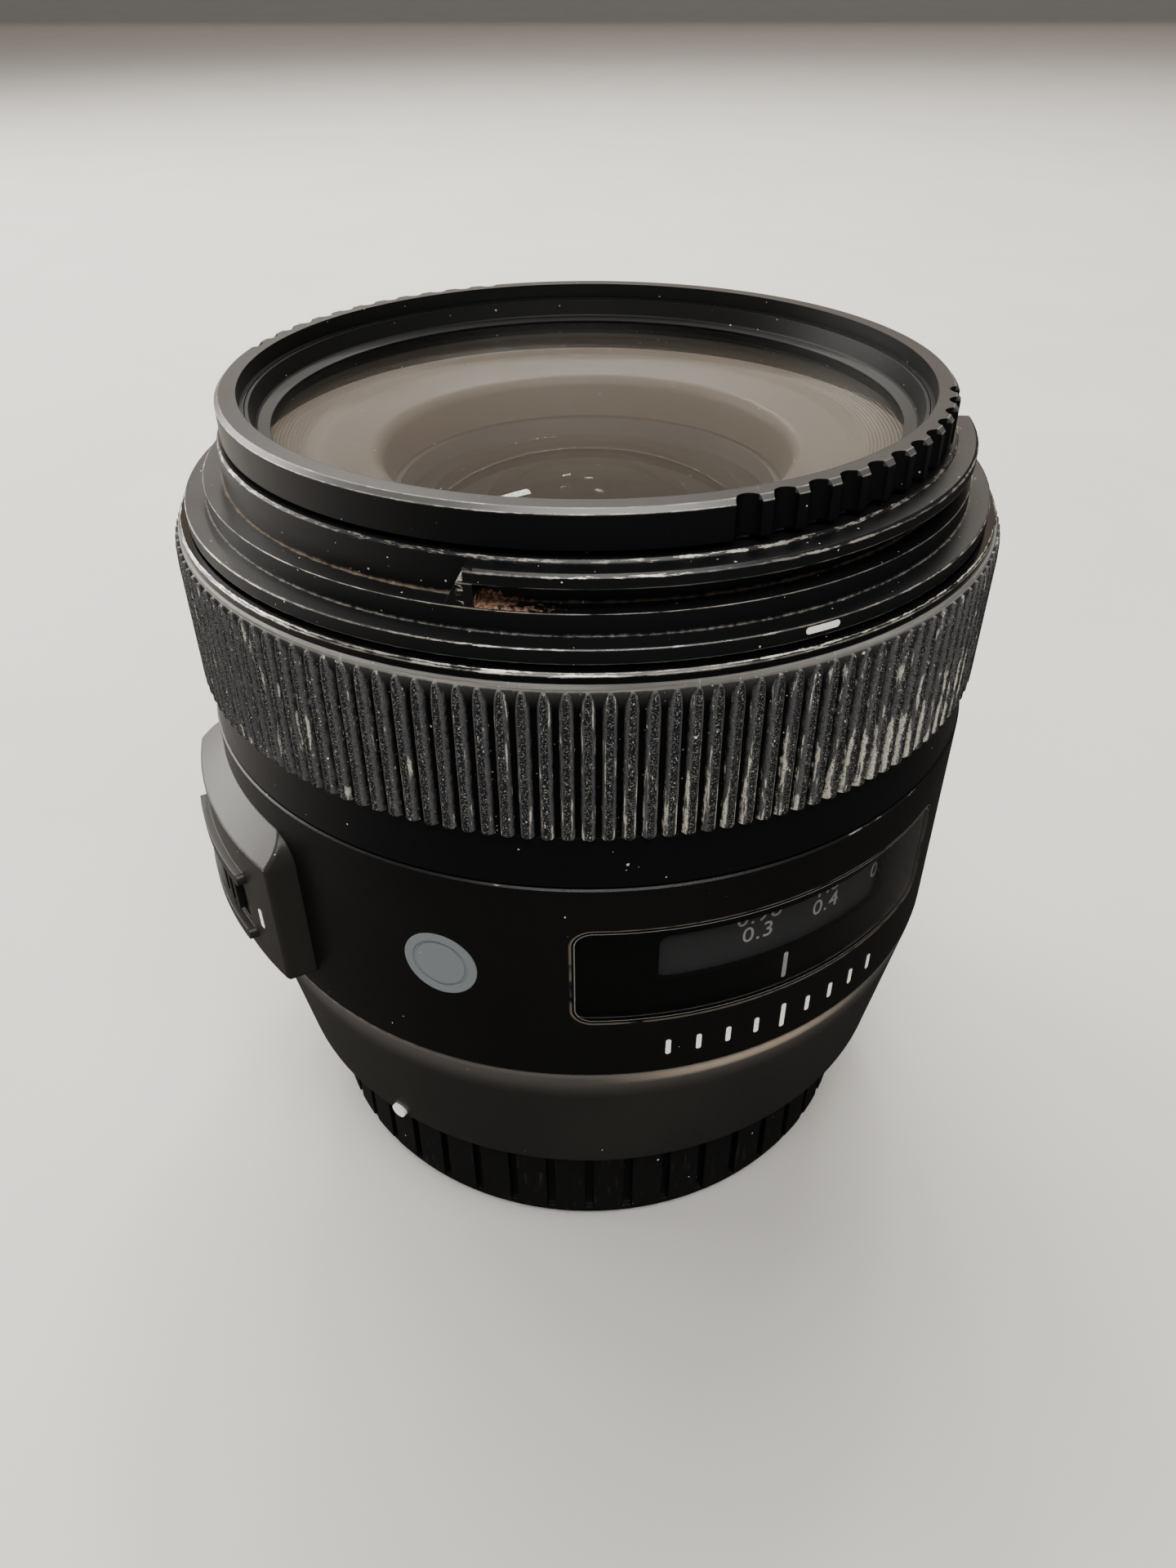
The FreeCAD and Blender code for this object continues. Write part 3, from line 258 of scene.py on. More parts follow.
    def done(self):
        """The finished material."""
        self.put(self.shader.inputs["Base Color"], self.colour)
        self.put(self.shader.inputs["Roughness"], self.roughness)
        self.put(self.shader.inputs["Metallic"], self.metallic)
        normal = None
        if self.soft_edge:
            bevel = self.tree.nodes.new("ShaderNodeBevel")
            bevel.samples = 4
            bevel.inputs["Radius"].default_value = self.soft_edge * MM
            normal = bevel.outputs[0]
        if isinstance(self.height, bpy.types.NodeSocket):
            bump = self.tree.nodes.new("ShaderNodeBump")
            bump.inputs["Distance"].default_value = MM
            self.put(bump.inputs["Height"], self.height)
            if normal:
                self.put(bump.inputs["Normal"], normal)
            normal = bump.outputs[0]
        if normal:
            self.put(self.shader.inputs["Normal"], normal)
        return self.material


# ---------------------------------------------------------------- outside finishes

BARE_METAL = (0.62, 0.59, 0.53)
DUST = (0.42, 0.40, 0.36)


def filter_black():
    """Satin anodised ring whose top chamfer is painted lighter grey, a painted reflection of the light above."""
    look = Look("filter_black", (0.008, 0.008, 0.009), 0.36)
    look.raise_by(0.003, look.round_streaks(9.0, 0.02))
    look.smudges(0.16)
    top, outer = top_of("filter_frame"), radius_of("filter_frame")
    # The top chamfer is painted lighter grey: a painted reflection of the light above.
    chamfer = look.math("MULTIPLY", look.between(look.z, top - 0.36, top + 0.2, 0.03),
                        look.smooth(look.r, outer - 0.42, outer - 0.34))
    look.layer(chamfer, (0.13, 0.13, 0.13), 0.34, 0.4)
    inside = look.smooth(look.r, 30.0, 29.9)
    look.layer(inside, (0.014, 0.014, 0.014), 0.44)
    look.put(look.shader.inputs["Specular IOR Level"], look.blend(inside, 0.5, 0.28))
    look.wear(outer, top - 0.35, 0.14, 0.34, scale=2.2)
    look.wear(outer - 0.35, top, 0.12, 0.25, scale=2.2)
    look.specks(0.9, 0.09, 0.35)
    look.specks(2.3, 0.15, 0.3)
    look.bevel(0.06)
    return look.done()


def barrel_black():
    """Front barrel: anodised metal, chipped round its rim and hood lugs, dusty in its corners."""
    look = Look("barrel_black", (0.012, 0.012, 0.013), 0.36)
    look.raise_by(0.004, look.round_streaks(7.0, 0.02))
    look.grain(7.0, 0.005)
    look.smudges(0.2)
    dusty = look.math("MULTIPLY", look.near_circle(33.8, 58.62, 0.4), look.noise(2.6, 5.0))
    look.layer(look.math("MULTIPLY", look.smooth(dusty, 0.25, 0.65), 0.6), DUST, 0.9)
    dusty = look.math("MULTIPLY", look.near_circle(32.1, 60.3, 0.45), look.noise(1.3, 5.0))
    look.layer(look.smooth(dusty, 0.22, 0.55), (0.20, 0.16, 0.12), 0.9)
    slot_start = math.radians(-13.8)
    nearby = look.smooth(look.azimuth, slot_start + math.radians(16.0), slot_start)
    nearby = look.math("MULTIPLY", nearby, look.smooth(look.azimuth, slot_start - 0.004, slot_start + 0.004))
    under = look.math("MULTIPLY", look.between(look.z, 60.2, 62.1, 0.05), look.smooth(look.r, 33.75, 33.5))
    heap = look.math("ADD", look.math("MULTIPLY", look.math("MULTIPLY", nearby, nearby), 1.0),
                     look.math("MULTIPLY", look.math("SUBTRACT", look.noise(2.2, 6.0), 0.60), 3.0))
    rust = look.math("MULTIPLY", under, look.smooth(look.math("SUBTRACT", heap, look.math("SUBTRACT", look.z, 60.3)),
                                                    0.0, 0.25))
    earth = look.blend_colour(look.smooth(look.noise(3.0, 4.0), 0.4, 0.6), (0.22, 0.11, 0.07), (0.50, 0.36, 0.27))
    look.layer(look.math("MULTIPLY", rust, nearby), earth, 0.9)
    look.wear(32.1, 63.4, 0.46, 0.52, scale=1.5)
    look.wear(33.8, 63.0, 0.30, 0.50, scale=1.2)
    look.wear(33.8, 60.3, 0.16, 0.42, scale=1.2)
    look.wear(33.8, 62.1, 0.12, 0.25, scale=1.2)
    look.wear(35.63, 58.6, 0.18, 0.58, scale=1.1)
    look.wear(35.63, 57.46, 0.10, 0.25, scale=1.2)
    ramp = look.between(look.azimuth, slot_start - 0.030, slot_start - 0.006, 0.006)
    ramp = look.math("MULTIPLY", ramp, look.math("MULTIPLY", look.smooth(look.r, 33.3, 33.7),
                                                 look.smooth(look.z, 60.25, 60.5)))
    look.layer(look.chipped(ramp, 0.12, 2.2), BARE_METAL, 0.4, 0.4)
    look.specks(0.8, 0.09, 0.45)
    look.specks(2.1, 0.16, 0.3)
    look.bevel(0.08)
    return look.done()


def gloss_black():
    """Focus ring: rubbed through along its front lip, satin below the grip."""
    look = Look("gloss_black", (0.007, 0.007, 0.008), 0.13)
    band = look.smooth(look.z, 44.0, 43.5)
    look.roughness = look.blend(band, look.roughness, 0.27)
    look.grain(5.0, 0.003)
    look.smudges(0.18)
    look.wear(36.3, 57.2, 0.20, 0.66, (0.74, 0.71, 0.64), scale=1.3)
    look.wear(36.4, 57.0, 0.4, 0.30, (0.66, 0.63, 0.57), scale=0.9)
    look.wear(radius_of("barrel_shell") - 0.15, 38.4, 0.12, 0.6, scale=0.5)
    look.specks(1.0, 0.08, 0.3)
    look.specks(3.0, 0.14, 0.25)
    look.bevel(0.05)
    return look.done()


def shell_black(name, colour, roughness, edges):
    """Painted shell with a fine blasted grain."""
    look = Look(name, colour, roughness)
    look.grain(5.5, 0.012)
    look.grain(0.5, 0.01)
    look.smudges(0.14, 0.08)
    shade = look.smooth(look.noise(0.05, 2.0), 0.35, 0.65)
    look.layer(look.math("MULTIPLY", shade, 0.5), tuple(1.35 * c for c in colour))
    for r, z, width, amount in edges:
        look.wear(r, z, width, amount, scale=0.5)
    return look


def beyond_window(look):
    """Distance outside the window's outline; negative inside it, near the edge."""
    corner = 1.6
    low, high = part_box("scale_window")[0] / MM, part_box("scale_window")[1] / MM
    half_z = (high.z - low.z) / 2 - corner
    half_across = radius_of("barrel_shell") * math.sin(math.radians(30.1)) - corner
    turn = look.math("SUBTRACT", look.azimuth, math.radians(TOP_AZ))
    across = look.math("MULTIPLY", look.math("SINE", turn), look.r)
    up = look.math("SUBTRACT", look.z, (high.z + low.z) / 2)
    out_x = look.math("MAXIMUM", look.math("SUBTRACT", look.math("ABSOLUTE", across), half_across), 0.0)
    out_z = look.math("MAXIMUM", look.math("SUBTRACT", look.math("ABSOLUTE", up), half_z), 0.0)
    away = look.math("SQRT", look.math("ADD", look.math("MULTIPLY", out_x, out_x),
                                       look.math("MULTIPLY", out_z, out_z)))
    far_side = look.math("MULTIPLY", look.smooth(look.math("COSINE", turn), 0.2, 0.0), 100.0)
    return look.math("ADD", look.math("SUBTRACT", away, corner), far_side)


def main_shell():
    """Main barrel, with a painted highlight line round the window opening."""
    outer = radius_of("barrel_shell")
    look = shell_black("main_shell", (0.008, 0.008, 0.008), 0.38,
                       [(outer, top_of("barrel_shell"), 0.16, 0.62), (outer, low_of("barrel_shell"), 0.12, 0.5)])
    # A thin patchy line just outside the window is a painted highlight.
    rim = look.smooth(beyond_window(look), 0.22, 0.1)
    painted_rim_highlight = look.math("MULTIPLY", rim, look.smooth(look.noise(0.5, 5.0), 0.3, 0.6))
    look.layer(painted_rim_highlight, (0.30, 0.26, 0.21), 0.35, 0.6)
    look.specks(1.6, 0.1, 0.3)
    look.specks(4.0, 0.2, 0.25)
    return look.done()


def pod_shell():
    """Switch pod: the same paint, a little greyer and rubbed on its edges."""
    look = shell_black("pod_shell", (0.028, 0.026, 0.024), 0.36, [])
    look.wear(39.45, 32.6, 0.25, 0.25)
    look.specks(1.4, 0.1, 0.3)
    look.bevel(0.18)
    return look.done()


def skirt_shell():
    """Rear barrel: fine-grained paint, with a painted sheen on its shoulder and a painted highlight along part of it.
    """
    look = shell_black("skirt_shell", (0.033, 0.031, 0.029), 0.44, [(34.0, 0.4, 0.2, 0.5)])
    # Painted light: the shoulder band is painted lighter as sheen, and the warmer band round azimuth 24 degrees is a
    # painted highlight.
    shoulder = look.math("MULTIPLY", look.smooth(look.z, 12.5, 16.2), look.smooth(look.z, 17.0, 16.4))
    look.layer(shoulder, (0.105, 0.098, 0.090), 0.38)
    facing = look.smooth(look.math("ABSOLUTE", look.math("SUBTRACT", look.azimuth, math.radians(24.0))),
                         math.radians(26.0), math.radians(4.0))
    gleam = look.math("MULTIPLY", facing, look.between(look.z, 15.3, 16.3, 0.35))
    look.layer(gleam, (0.38, 0.32, 0.26), 0.30)
    look.specks(1.5, 0.09, 0.35)
    look.bevel(0.5)
    return look.done()


def cap_plastic():
    """Moulded cap plastic, scuffed on the lands between its grooves."""
    look = Look("cap_plastic", (0.014, 0.014, 0.014), 0.38)
    look.grain(4.0, 0.01)
    look.smudges(0.25)
    land = look.smooth(look.r, radius_of("rear_cap") - 0.12, radius_of("rear_cap") - 0.02)
    scuffs = look.smooth(look.upright_streaks(2.2, 0.35, 5.0), 0.56, 0.72)
    look.layer(look.math("MULTIPLY", look.math("MULTIPLY", land, scuffs), 0.5), (0.05, 0.05, 0.05), 0.6)
    look.specks(1.2, 0.14, 0.4)
    look.bevel(0.12)
    return look.done()


def knob_plastic():
    """Switch knob."""
    look = Look("knob_plastic", (0.02, 0.02, 0.02), 0.42)
    look.grain(6.0, 0.008)
    look.smudges(0.2)
    look.specks(1.1, 0.1, 0.3)
    look.bevel(0.12)
    return look.done()


def grip_rubber():
    """Charcoal rubber: grey flanks, dark speckled crowns, grooves in painted shade that lightens near the band, ribs
    rubbed pale at lower right.
    """
    look = Look("grip_rubber", (0.016, 0.016, 0.018), 0.62, specular=0.3)
    top = top_of("focus_grip")
    turns = look.math("FRACT", look.math("ADD", look.math("MULTIPLY", look.azimuth, RIBS / (2 * math.pi)), 200.5))
    aside = look.math("ABSOLUTE", look.math("SUBTRACT", turns, 0.5))
    wander = look.math("MULTIPLY", look.math("SUBTRACT", look.noise(1.6, 3.0), 0.5), 0.16)
    above = look.math("DIVIDE", look.math("SUBTRACT", top - RIB_TIP, look.z), RIB_ARCH, clamp=True)
    short = look.math("SUBTRACT", 1.0, above)
    narrowed = look.math("SQRT", look.math("SUBTRACT", 1.02, look.math("MULTIPLY", short, short)))
    aside = look.math("DIVIDE", aside, narrowed)
    aside_worn = look.math("ADD", aside, wander)
    fine = look.noise(9.0, 3.0, rough=0.7)
    flank = look.between(aside_worn, 0.17, 0.335, 0.045)
    look.layer(look.math("MULTIPLY", flank, look.smooth(fine, 0.30, 0.55)), (0.135, 0.135, 0.14), 0.66)
    crown = look.smooth(aside_worn, 0.20, 0.13)
    look.layer(look.math("MULTIPLY", crown, look.smooth(fine, 0.54, 0.64)), (0.32, 0.315, 0.30), 0.7)
    groove = look.smooth(aside, 0.325, 0.365)
    # Painted shade: the grooves are near black low down and painted lighter where they rise to the band.
    painted_groove_shade = look.math("MULTIPLY", groove, look.smooth(look.z, top - 0.7, top - 2.3))
    look.layer(painted_groove_shade, (0.003, 0.003, 0.0035), 0.85)
    painted_groove_half_shade = look.math("MULTIPLY", groove, look.smooth(look.z, top - 2.3, top - 0.6))
    look.layer(painted_groove_half_shade, (0.055, 0.053, 0.052), 0.7)
    band = look.smooth(look.z, top - 0.62, top - 0.40)
    brushed = look.smooth(look.round_streaks(5.0, 0.08), 0.3, 0.7)
    look.layer(band, look.blend_colour(brushed, (0.15, 0.145, 0.14), (0.30, 0.29, 0.275)), 0.55)
    towards = look.smooth(look.math("ABSOLUTE", look.math("SUBTRACT", look.azimuth, math.radians(30.0))),
                          math.radians(48.0), math.radians(12.0))
    low_part = look.smooth(look.z, 52.0, 44.5)
    drawn = look.noise(1.0, 4.0, look.scaled(look.place, (2.0, 2.0, 0.30)))
    level = look.math("ADD", drawn, look.math("MULTIPLY", look.math("MULTIPLY", towards, low_part), 0.17))
    outline = look.between(aside_worn, 0.20, 0.33, 0.03)
    pale = look.math("MULTIPLY", look.smooth(level, 0.60, 0.66), outline)
    look.layer(look.math("MULTIPLY", pale, look.smooth(fine, 0.35, 0.5)), (0.62, 0.60, 0.54), 0.7)
    scuff = look.math("MULTIPLY", look.smooth(look.noise(1.0, 5.0, look.scaled(look.place, (3.4, 3.4, 1.5)), 0.7),
                                              0.645, 0.68), look.smooth(aside, 0.40, 0.34))
    look.layer(scuff, (0.60, 0.58, 0.52), 0.7)
    look.raise_by(0.03, fine)
    look.specks(0.45, 0.07, 0.5, (0.42, 0.41, 0.38))
    look.specks(1.1, 0.13, 0.3, (0.62, 0.60, 0.55))
    return look.done()


def badge_enamel():
    """Plain grey enamel disc with a paler rim."""
    look = Look("badge_enamel", (0.20, 0.22, 0.235), 0.32)
    look.grain(4.0, 0.006)
    look.smudges(0.15)
    look.specks(1.0, 0.1, 0.25)
    look.bevel(0.12)
    return look.done()


def white_paint():
    """White filling of the marks, a little dirty."""
    look = Look("white_paint", (0.90, 0.89, 0.85), 0.5)
    dirt = look.smooth(look.noise(1.8, 5.0), 0.5, 0.75)
    look.layer(look.math("MULTIPLY", dirt, 0.3), (0.42, 0.38, 0.32), 0.7)
    look.grain(5.0, 0.01)
    return look.done()


def scale_black():
    """Distance drum: dark grey satin."""
    look = Look("scale_black", (0.12, 0.12, 0.125), 0.5)
    look.raise_by(0.004, look.round_streaks(8.0, 0.03))
    look.smudges(0.12)
    return look.done()


def mask_black():
    """Gloss plate behind the window."""
    look = Look("mask_black", (0.005, 0.005, 0.005), 0.2)
    look.grain(3.0, 0.003)
    look.smudges(0.1)
    return look.done()


def ridged_black():
    """Cone round the front element: warm black plastic with fine turned lines."""
    look = Look("ridged_black", (0.060, 0.050, 0.042), 0.34)
    look.raise_by(0.003, look.round_streaks(5.0, 0.01))
    look.smudges(0.1, 0.06)
    look.specks(1.5, 0.1, 0.25, (0.35, 0.32, 0.28))
    return look.done()


# ---------------------------------------------------------------- glass

def clear(name, tint, ior, roughness=0.0, mirror=0.5, mirror_tint=None, haze=None):
    """Glass that also lets lamp light through to what is behind it; mirror 0.5 is uncoated."""
    look = Look(name, tint, roughness, specular=mirror)
    look.put(look.shader.inputs["Transmission Weight"], 1.0)
    look.put(look.shader.inputs["IOR"], ior)
    if mirror_tint:
        look.put(look.shader.inputs["Specular Tint"], mirror_tint)
    look.smudges(0.03, 0.1)
    if haze:
        look.specks(1.4, 0.09, haze, (0.7, 0.68, 0.62))
    if name == "window_clear":
        blacked = look.smooth(beyond_window(look), -0.30, -0.14)
        look.layer(blacked, (0.004, 0.004, 0.004), 0.25)
        look.put(look.shader.inputs["Transmission Weight"], look.math("SUBTRACT", 1.0, blacked))
    material = look.done()
    tree = look.tree
    output = tree.nodes["Material Output"]
    path = tree.nodes.new("ShaderNodeLightPath")
    through = tree.nodes.new("ShaderNodeBsdfTransparent")
    through.inputs[0].default_value = (*tint, 1)
    mix = tree.nodes.new("ShaderNodeMixShader")
    tree.links.new(path.outputs["Is Shadow Ray"], mix.inputs[0])
    tree.links.new(look.shader.outputs[0], mix.inputs[1])
    tree.links.new(through.outputs[0], mix.inputs[2])
    tree.links.new(mix.outputs[0], output.inputs["Surface"])
    return material


# ---------------------------------------------------------------- inside finishes

def machined(name, colour, roughness, metallic=1.0, black_inside=0.0):
    """Turned metal with fine lines and slight staining; blackened inside a radius."""
    look = Look(name, colour, roughness, metallic)
    look.raise_by(0.006, look.round_streaks(10.0, 0.05))
    look.smudges(0.2)
    stain = look.smooth(look.noise(0.25, 4.0), 0.5, 0.8)
    look.layer(look.math("MULTIPLY", stain, 0.4), tuple(0.6 * c for c in colour))
    if black_inside:
        look.layer(look.smooth(look.r, black_inside, black_inside - 0.1), (0.015, 0.015, 0.015), 0.6, 0.0)
    look.bevel(0.08)
    return look.done()


def inner_plastic():
    """Dull black plastic of the inner cells."""
    look = Look("inner_plastic", (0.022, 0.022, 0.022), 0.55)
    look.grain(3.0, 0.01)
    look.smudges(0.15)
    return look.done()


def blade_steel():
    """Blackened steel of the iris blades, rubbed in arcs."""
    look = Look("blade_steel", (0.035, 0.035, 0.038), 0.38, 0.6)
    look.raise_by(0.003, look.round_streaks(8.0, 0.1))
    look.smudges(0.2)
    return look.done()


def circuit_board():
    """Green lacquer over fine conductors."""
    look = Look("circuit_board", (0.010, 0.06, 0.030), 0.32)
    lines = look.math("FRACT", look.math("MULTIPLY", look.r, 1.6))
    tracks = look.between(lines, 0.35, 0.65, 0.05)
    look.layer(look.math("MULTIPLY", tracks, 0.6), (0.03, 0.14, 0.06))
    chips = look.smooth(look.z, top_of("main_board") - 0.95, top_of("main_board") - 0.9)
    look.layer(chips, (0.02, 0.02, 0.02), 0.5)
    look.smudges(0.1)
    return look.done()


# ---------------------------------------------------------------- which node has which finish

def paint(material, *names):
    """Gives nodes a material."""
    for name in names:
        slots = nodes[name].material_slots
        for slot in slots:
            slot.link = "OBJECT"
            slot.material = material


def finish_nodes():
    """Materials of all carried-over nodes."""
    paint(filter_black(), "filter_frame", "filter_retainer")
    paint(barrel_black(), "front_barrel")
    paint(gloss_black(), "focus_ring")
    paint(main_shell(), "barrel_shell")
    paint(pod_shell(), "switch_panel")
    paint(skirt_shell(), "mount_skirt")
    paint(cap_plastic(), "rear_cap")
    paint(knob_plastic(), "mode_switch")
    paint(badge_enamel(), "badge")
    paint(white_paint(), "paint_marks")
    paint(scale_black(), "distance_scale")
    paint(mask_black(), "window_mask")
    paint(inner_plastic(), "front_group_cell", "front_retainer", "iris_housing", "contact_block",
          "rear_lens_cell", "rear_retainer")
    paint(blade_steel(), "iris_cover", *[f"iris_blade_{n}" for n in range(1, 10)])
    paint(machined("brass", (0.66, 0.50, 0.25), 0.3), "cam_ring", "cam_followers")
    paint(machined("aluminium", (0.62, 0.62, 0.63), 0.36), "guide_tube", "motor_rotor")
    paint(machined("carriage_metal", (0.62, 0.62, 0.63), 0.36, black_inside=24.4), "focus_carriage")
    paint(machined("steel", (0.50, 0.50, 0.51), 0.28), "iris_drive_ring", "aperture_lever", "aperture_spring",
          "focus_drive_ring", "motor_spring", "mount_screws", "drive_roller_1", "drive_roller_2",
          "drive_roller_3")
    paint(machined("chrome", (0.78, 0.77, 0.75), 0.16), "bayonet_mount")
    paint(machined("contact_gold", (0.83, 0.62, 0.28), 0.2), "contact_pins")
    paint(machined("motor_ceramic", (0.40, 0.36, 0.30), 0.5, 0.5), "motor_stator")
    paint(circuit_board(), "main_board")
    paint(clear("filter_glass", (0.97, 0.98, 0.97), 1.5, haze=0.35), "filter_glass")
    paint(clear("window_clear", (0.80, 0.80, 0.80), 1.45), "scale_window")
    for number in range(1, 10):
        coating = ((0.55, 1.0, 0.75), (0.95, 1.0, 0.80), (0.70, 0.75, 1.0))[number % 3]
        # Elements 1 and 2 let less light through, a painted shade that darkens the inside of the lens.
        through = {1: 0.50, 2: 0.75}.get(number, 0.95)
        tint = (through, 1.02 * through, 1.01 * through)
        paint(clear(f"coated_glass_{number}", tint, 1.62, mirror=0.12, mirror_tint=coating),
              f"lens_element_{number}")


# ---------------------------------------------------------------- ribbed grip

GRIP_SEAT_R = 35.75
GRIP_BAND_R = 36.62
GRIP_FLOOR_R = 36.3


def rib_shape(z, low, top):
    """(half width share, crown radius, floor radius) of a rib and its groove at a height."""
    tip, arch = top - RIB_TIP, RIB_ARCH
    foot = low + 0.05
    above = min(max((tip - z) / arch, 0.0), 1.0)
    below = min(max((z - foot) / 0.5, 0.0), 1.0)
    open_top = math.sqrt(1 - (1 - above) ** 2)
    open_low = math.sqrt(1 - (1 - below) ** 2)
    half = 0.36 * (0.03 + 0.97 * open_top) * (0.85 + 0.15 * open_low)
    rise = min(max((z - (tip - 1.5)) / 1.4, 0.0), 1.0)
    floor = GRIP_FLOOR_R + (GRIP_BAND_R - GRIP_FLOOR_R) * rise * rise * (3 - 2 * rise)
    crown = GRIP_BAND_R + (radius_of("focus_grip") - 0.01 - GRIP_BAND_R) * open_top ** 0.35
    crown = floor + (crown - floor) * (0.25 + 0.75 * open_low)
    return half, crown, floor


def grip_rows(low, top):
    """Heights of the mesh rows: close together where the ribs end."""
    foot = [low + 0.05 + 0.5 * (1 - math.cos(math.radians(a))) for a in range(0, 91, 15)]
    middle = list(np.linspace(foot[-1] + 0.9, top - 3.6, 6))
    arch = [top - RIB_TIP - RIB_ARCH * (1 - math.sin(math.radians(a))) for a in range(0, 91, 9)]
    return foot + middle + arch + [top - 0.3, top - 0.12]


def ribbed_grip():
    """Rubber sleeve whose ribs end in rounded points under a smooth band."""
    low, top = low_of("focus_grip"), top_of("focus_grip")
    pitch = 2 * math.pi / RIBS
    across = [-1.0, -0.92, -0.72, -0.45, -0.15, 0.15, 0.45, 0.72, 0.92, 1.0]
    rows = grip_rows(low, top)
    columns = RIBS * (len(across) + 1)
    rings = []
    rings.append([(GRIP_SEAT_R, low)] * columns)
    rings.append([(GRIP_FLOOR_R - 0.1, low)] * columns)
    verts = []

    def add_ring(points):
        for radius, angle, z in points:
            verts.append((radius * math.cos(angle) * MM, radius * math.sin(angle) * MM, z * MM))

    def plain_ring(radius, z):
        half, _, _ = rib_shape(z, low, top)
        add_ring([(radius, angle, z) for angle in angles(half)])

    def angles(half):
        found = []
        for rib in range(RIBS):
            centre = rib * pitch
            found += [centre + s * half * pitch for s in across]
            found.append(centre + pitch / 2)
        return found
    plain_ring(GRIP_SEAT_R, low)
    plain_ring(GRIP_FLOOR_R - 0.15, low)
    for z in rows:
        half, crown, floor = rib_shape(z, low, top)
        points = []
        for rib in range(RIBS):
            centre = rib * pitch
            for s in across:
                bulge = (1 - abs(s) ** 2.4) ** 0.6
                points.append((floor + (crown - floor) * bulge, centre + s * half * pitch, z))
            points.append((floor - 0.02, centre + pitch / 2, z))
        add_ring(points)
    plain_ring(GRIP_BAND_R - 0.1, top)
    plain_ring(GRIP_SEAT_R, top)
    ring_count = len(verts) // columns
    faces = []
    for row in range(ring_count):
        above = (row + 1) % ring_count
        for column in range(columns):
            beside = (column + 1) % columns
            faces.append((row * columns + column, row * columns + beside,
                          above * columns + beside, above * columns + column))
    mesh = bpy.data.meshes.new("ribbed_grip")
    mesh.from_pydata(verts, [], faces)
    mesh.polygons.foreach_set("use_smooth", [True] * len(faces))
    mesh.update()
    piece = bpy.data.objects.new("ribbed_grip", mesh)
    bpy.context.scene.collection.objects.link(piece)
    mesh.materials.append(grip_rubber())
    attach(piece, "focus_ring")
    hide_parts("focus_grip")
    return piece


# ---------------------------------------------------------------- cone round the front element

def cone_profile():
    """(radius, z) points round the section of the cone: fine steps outside, a soft shoulder inside."""
    top = top_of("name_ring")
    low = low_of("name_ring")
    edge_r, groove_end_r, shoulder_r = 28.3, 23.2, 18.4
    fall = 0.19
    profile = [(18.7, low + 0.02), (19.2, low + 2.2), (28.2, low + 4.2), (28.4, low + 4.75), (30.88, low + 4.77)]
    profile += [(30.88, top - 0.1), (30.78, top), (edge_r, top)]
    pitch, count = 0.30, 17
    for groove in range(count):
        r = edge_r - groove * pitch
        depth = 0.075 * min(1.0, (count - groove) / 8)
        z = top - fall * (edge_r - r)
        profile += [(r - 0.45 * pitch, z - 0.02 - depth), (r - 0.55 * pitch, z - 0.02 - depth),
                    (r - pitch, z - fall * pitch)]
    level = top - fall * (edge_r - groove_end_r)
    profile.append((shoulder_r + 1.2, level - fall * (groove_end_r - shoulder_r - 1.2)))
    last_r, last_z = profile[-1]
    for angle in range(12, 85, 12):
        turn = math.radians(angle)
        profile.append((last_r - 1.2 * math.sin(turn), last_z - 1.1 * (1 - math.cos(turn)) - 0.15 * math.sin(turn)))
    profile.append((17.97, low + 0.02))
    return profile


def spun_mesh(name, profile, steps):
    """Closed mesh of revolution from a section's (radius, z) points in millimetres."""
    verts = []
    for radius, z in profile:
        for step in range(steps):
            angle = 2 * math.pi * step / steps
            verts.append((radius * math.cos(angle) * MM, radius * math.sin(angle) * MM, z * MM))
    faces = []
    for row in range(len(profile)):
        above = (row + 1) % len(profile)
        for step in range(steps):
            beside = (step + 1) % steps
            faces.append((row * steps + step, above * steps + step,
                          above * steps + beside, row * steps + beside))
    mesh = bpy.data.meshes.new(name)
    mesh.from_pydata(verts, [], faces)
    mesh.polygons.foreach_set("use_smooth", [True] * len(faces))
    mesh.set_sharp_from_angle(angle=math.radians(40))
    mesh.update()
    return mesh


def ridged_cone():
    """The cone with its fine steps, in place of the CAD's coarser ones."""
    mesh = spun_mesh("ridged_cone", cone_profile(), 180)
    mesh.materials.append(ridged_black())
    piece = bpy.data.objects.new("ridged_cone", mesh)
    bpy.context.scene.collection.objects.link(piece)
    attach(piece, "barrel")
    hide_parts("name_ring")


# ---------------------------------------------------------------- distance scale

SCALE_TURN = 37.6                # degrees from the near limit's mark to infinity's
NEAR_LIMIT = 0.3                 # metres, as on the dial
LENS_BACK = 0.08                 # part of that distance behind the moving glass


def mark_azimuth(distance):
    """Where a distance stands on the drum while the lens is near its close limit."""
    infinity = TOP_AZ + SCALE_TURN - 4.0
    if distance is None:
        return infinity
    return infinity - SCALE_TURN * (NEAR_LIMIT - LENS_BACK) / (distance - LENS_BACK)


def flat_text(text, height):
    """Triangles of a plain number, in millimetres, standing on a line through its middle."""
    curve = bpy.data.curves.new("number", "FONT")
    curve.body = text
    curve.size = height / 0.73
    curve.align_x = "CENTER"
    curve.resolution_u = 3
    curve.extrude = 0.02
    curve.space_character = 1.08
    holder = bpy.data.objects.new("number", curve)
    bpy.context.scene.collection.objects.link(holder)
    bpy.context.view_layer.update()
    shape = holder.evaluated_get(bpy.context.evaluated_depsgraph_get())
    mesh = bpy.data.meshes.new_from_object(shape)
    verts = [tuple(v.co) for v in mesh.vertices]
    faces = [tuple(p.vertices) for p in mesh.polygons]
    bpy.data.objects.remove(holder)
    bpy.data.curves.remove(curve)
    bpy.data.meshes.remove(mesh)
    return verts, faces


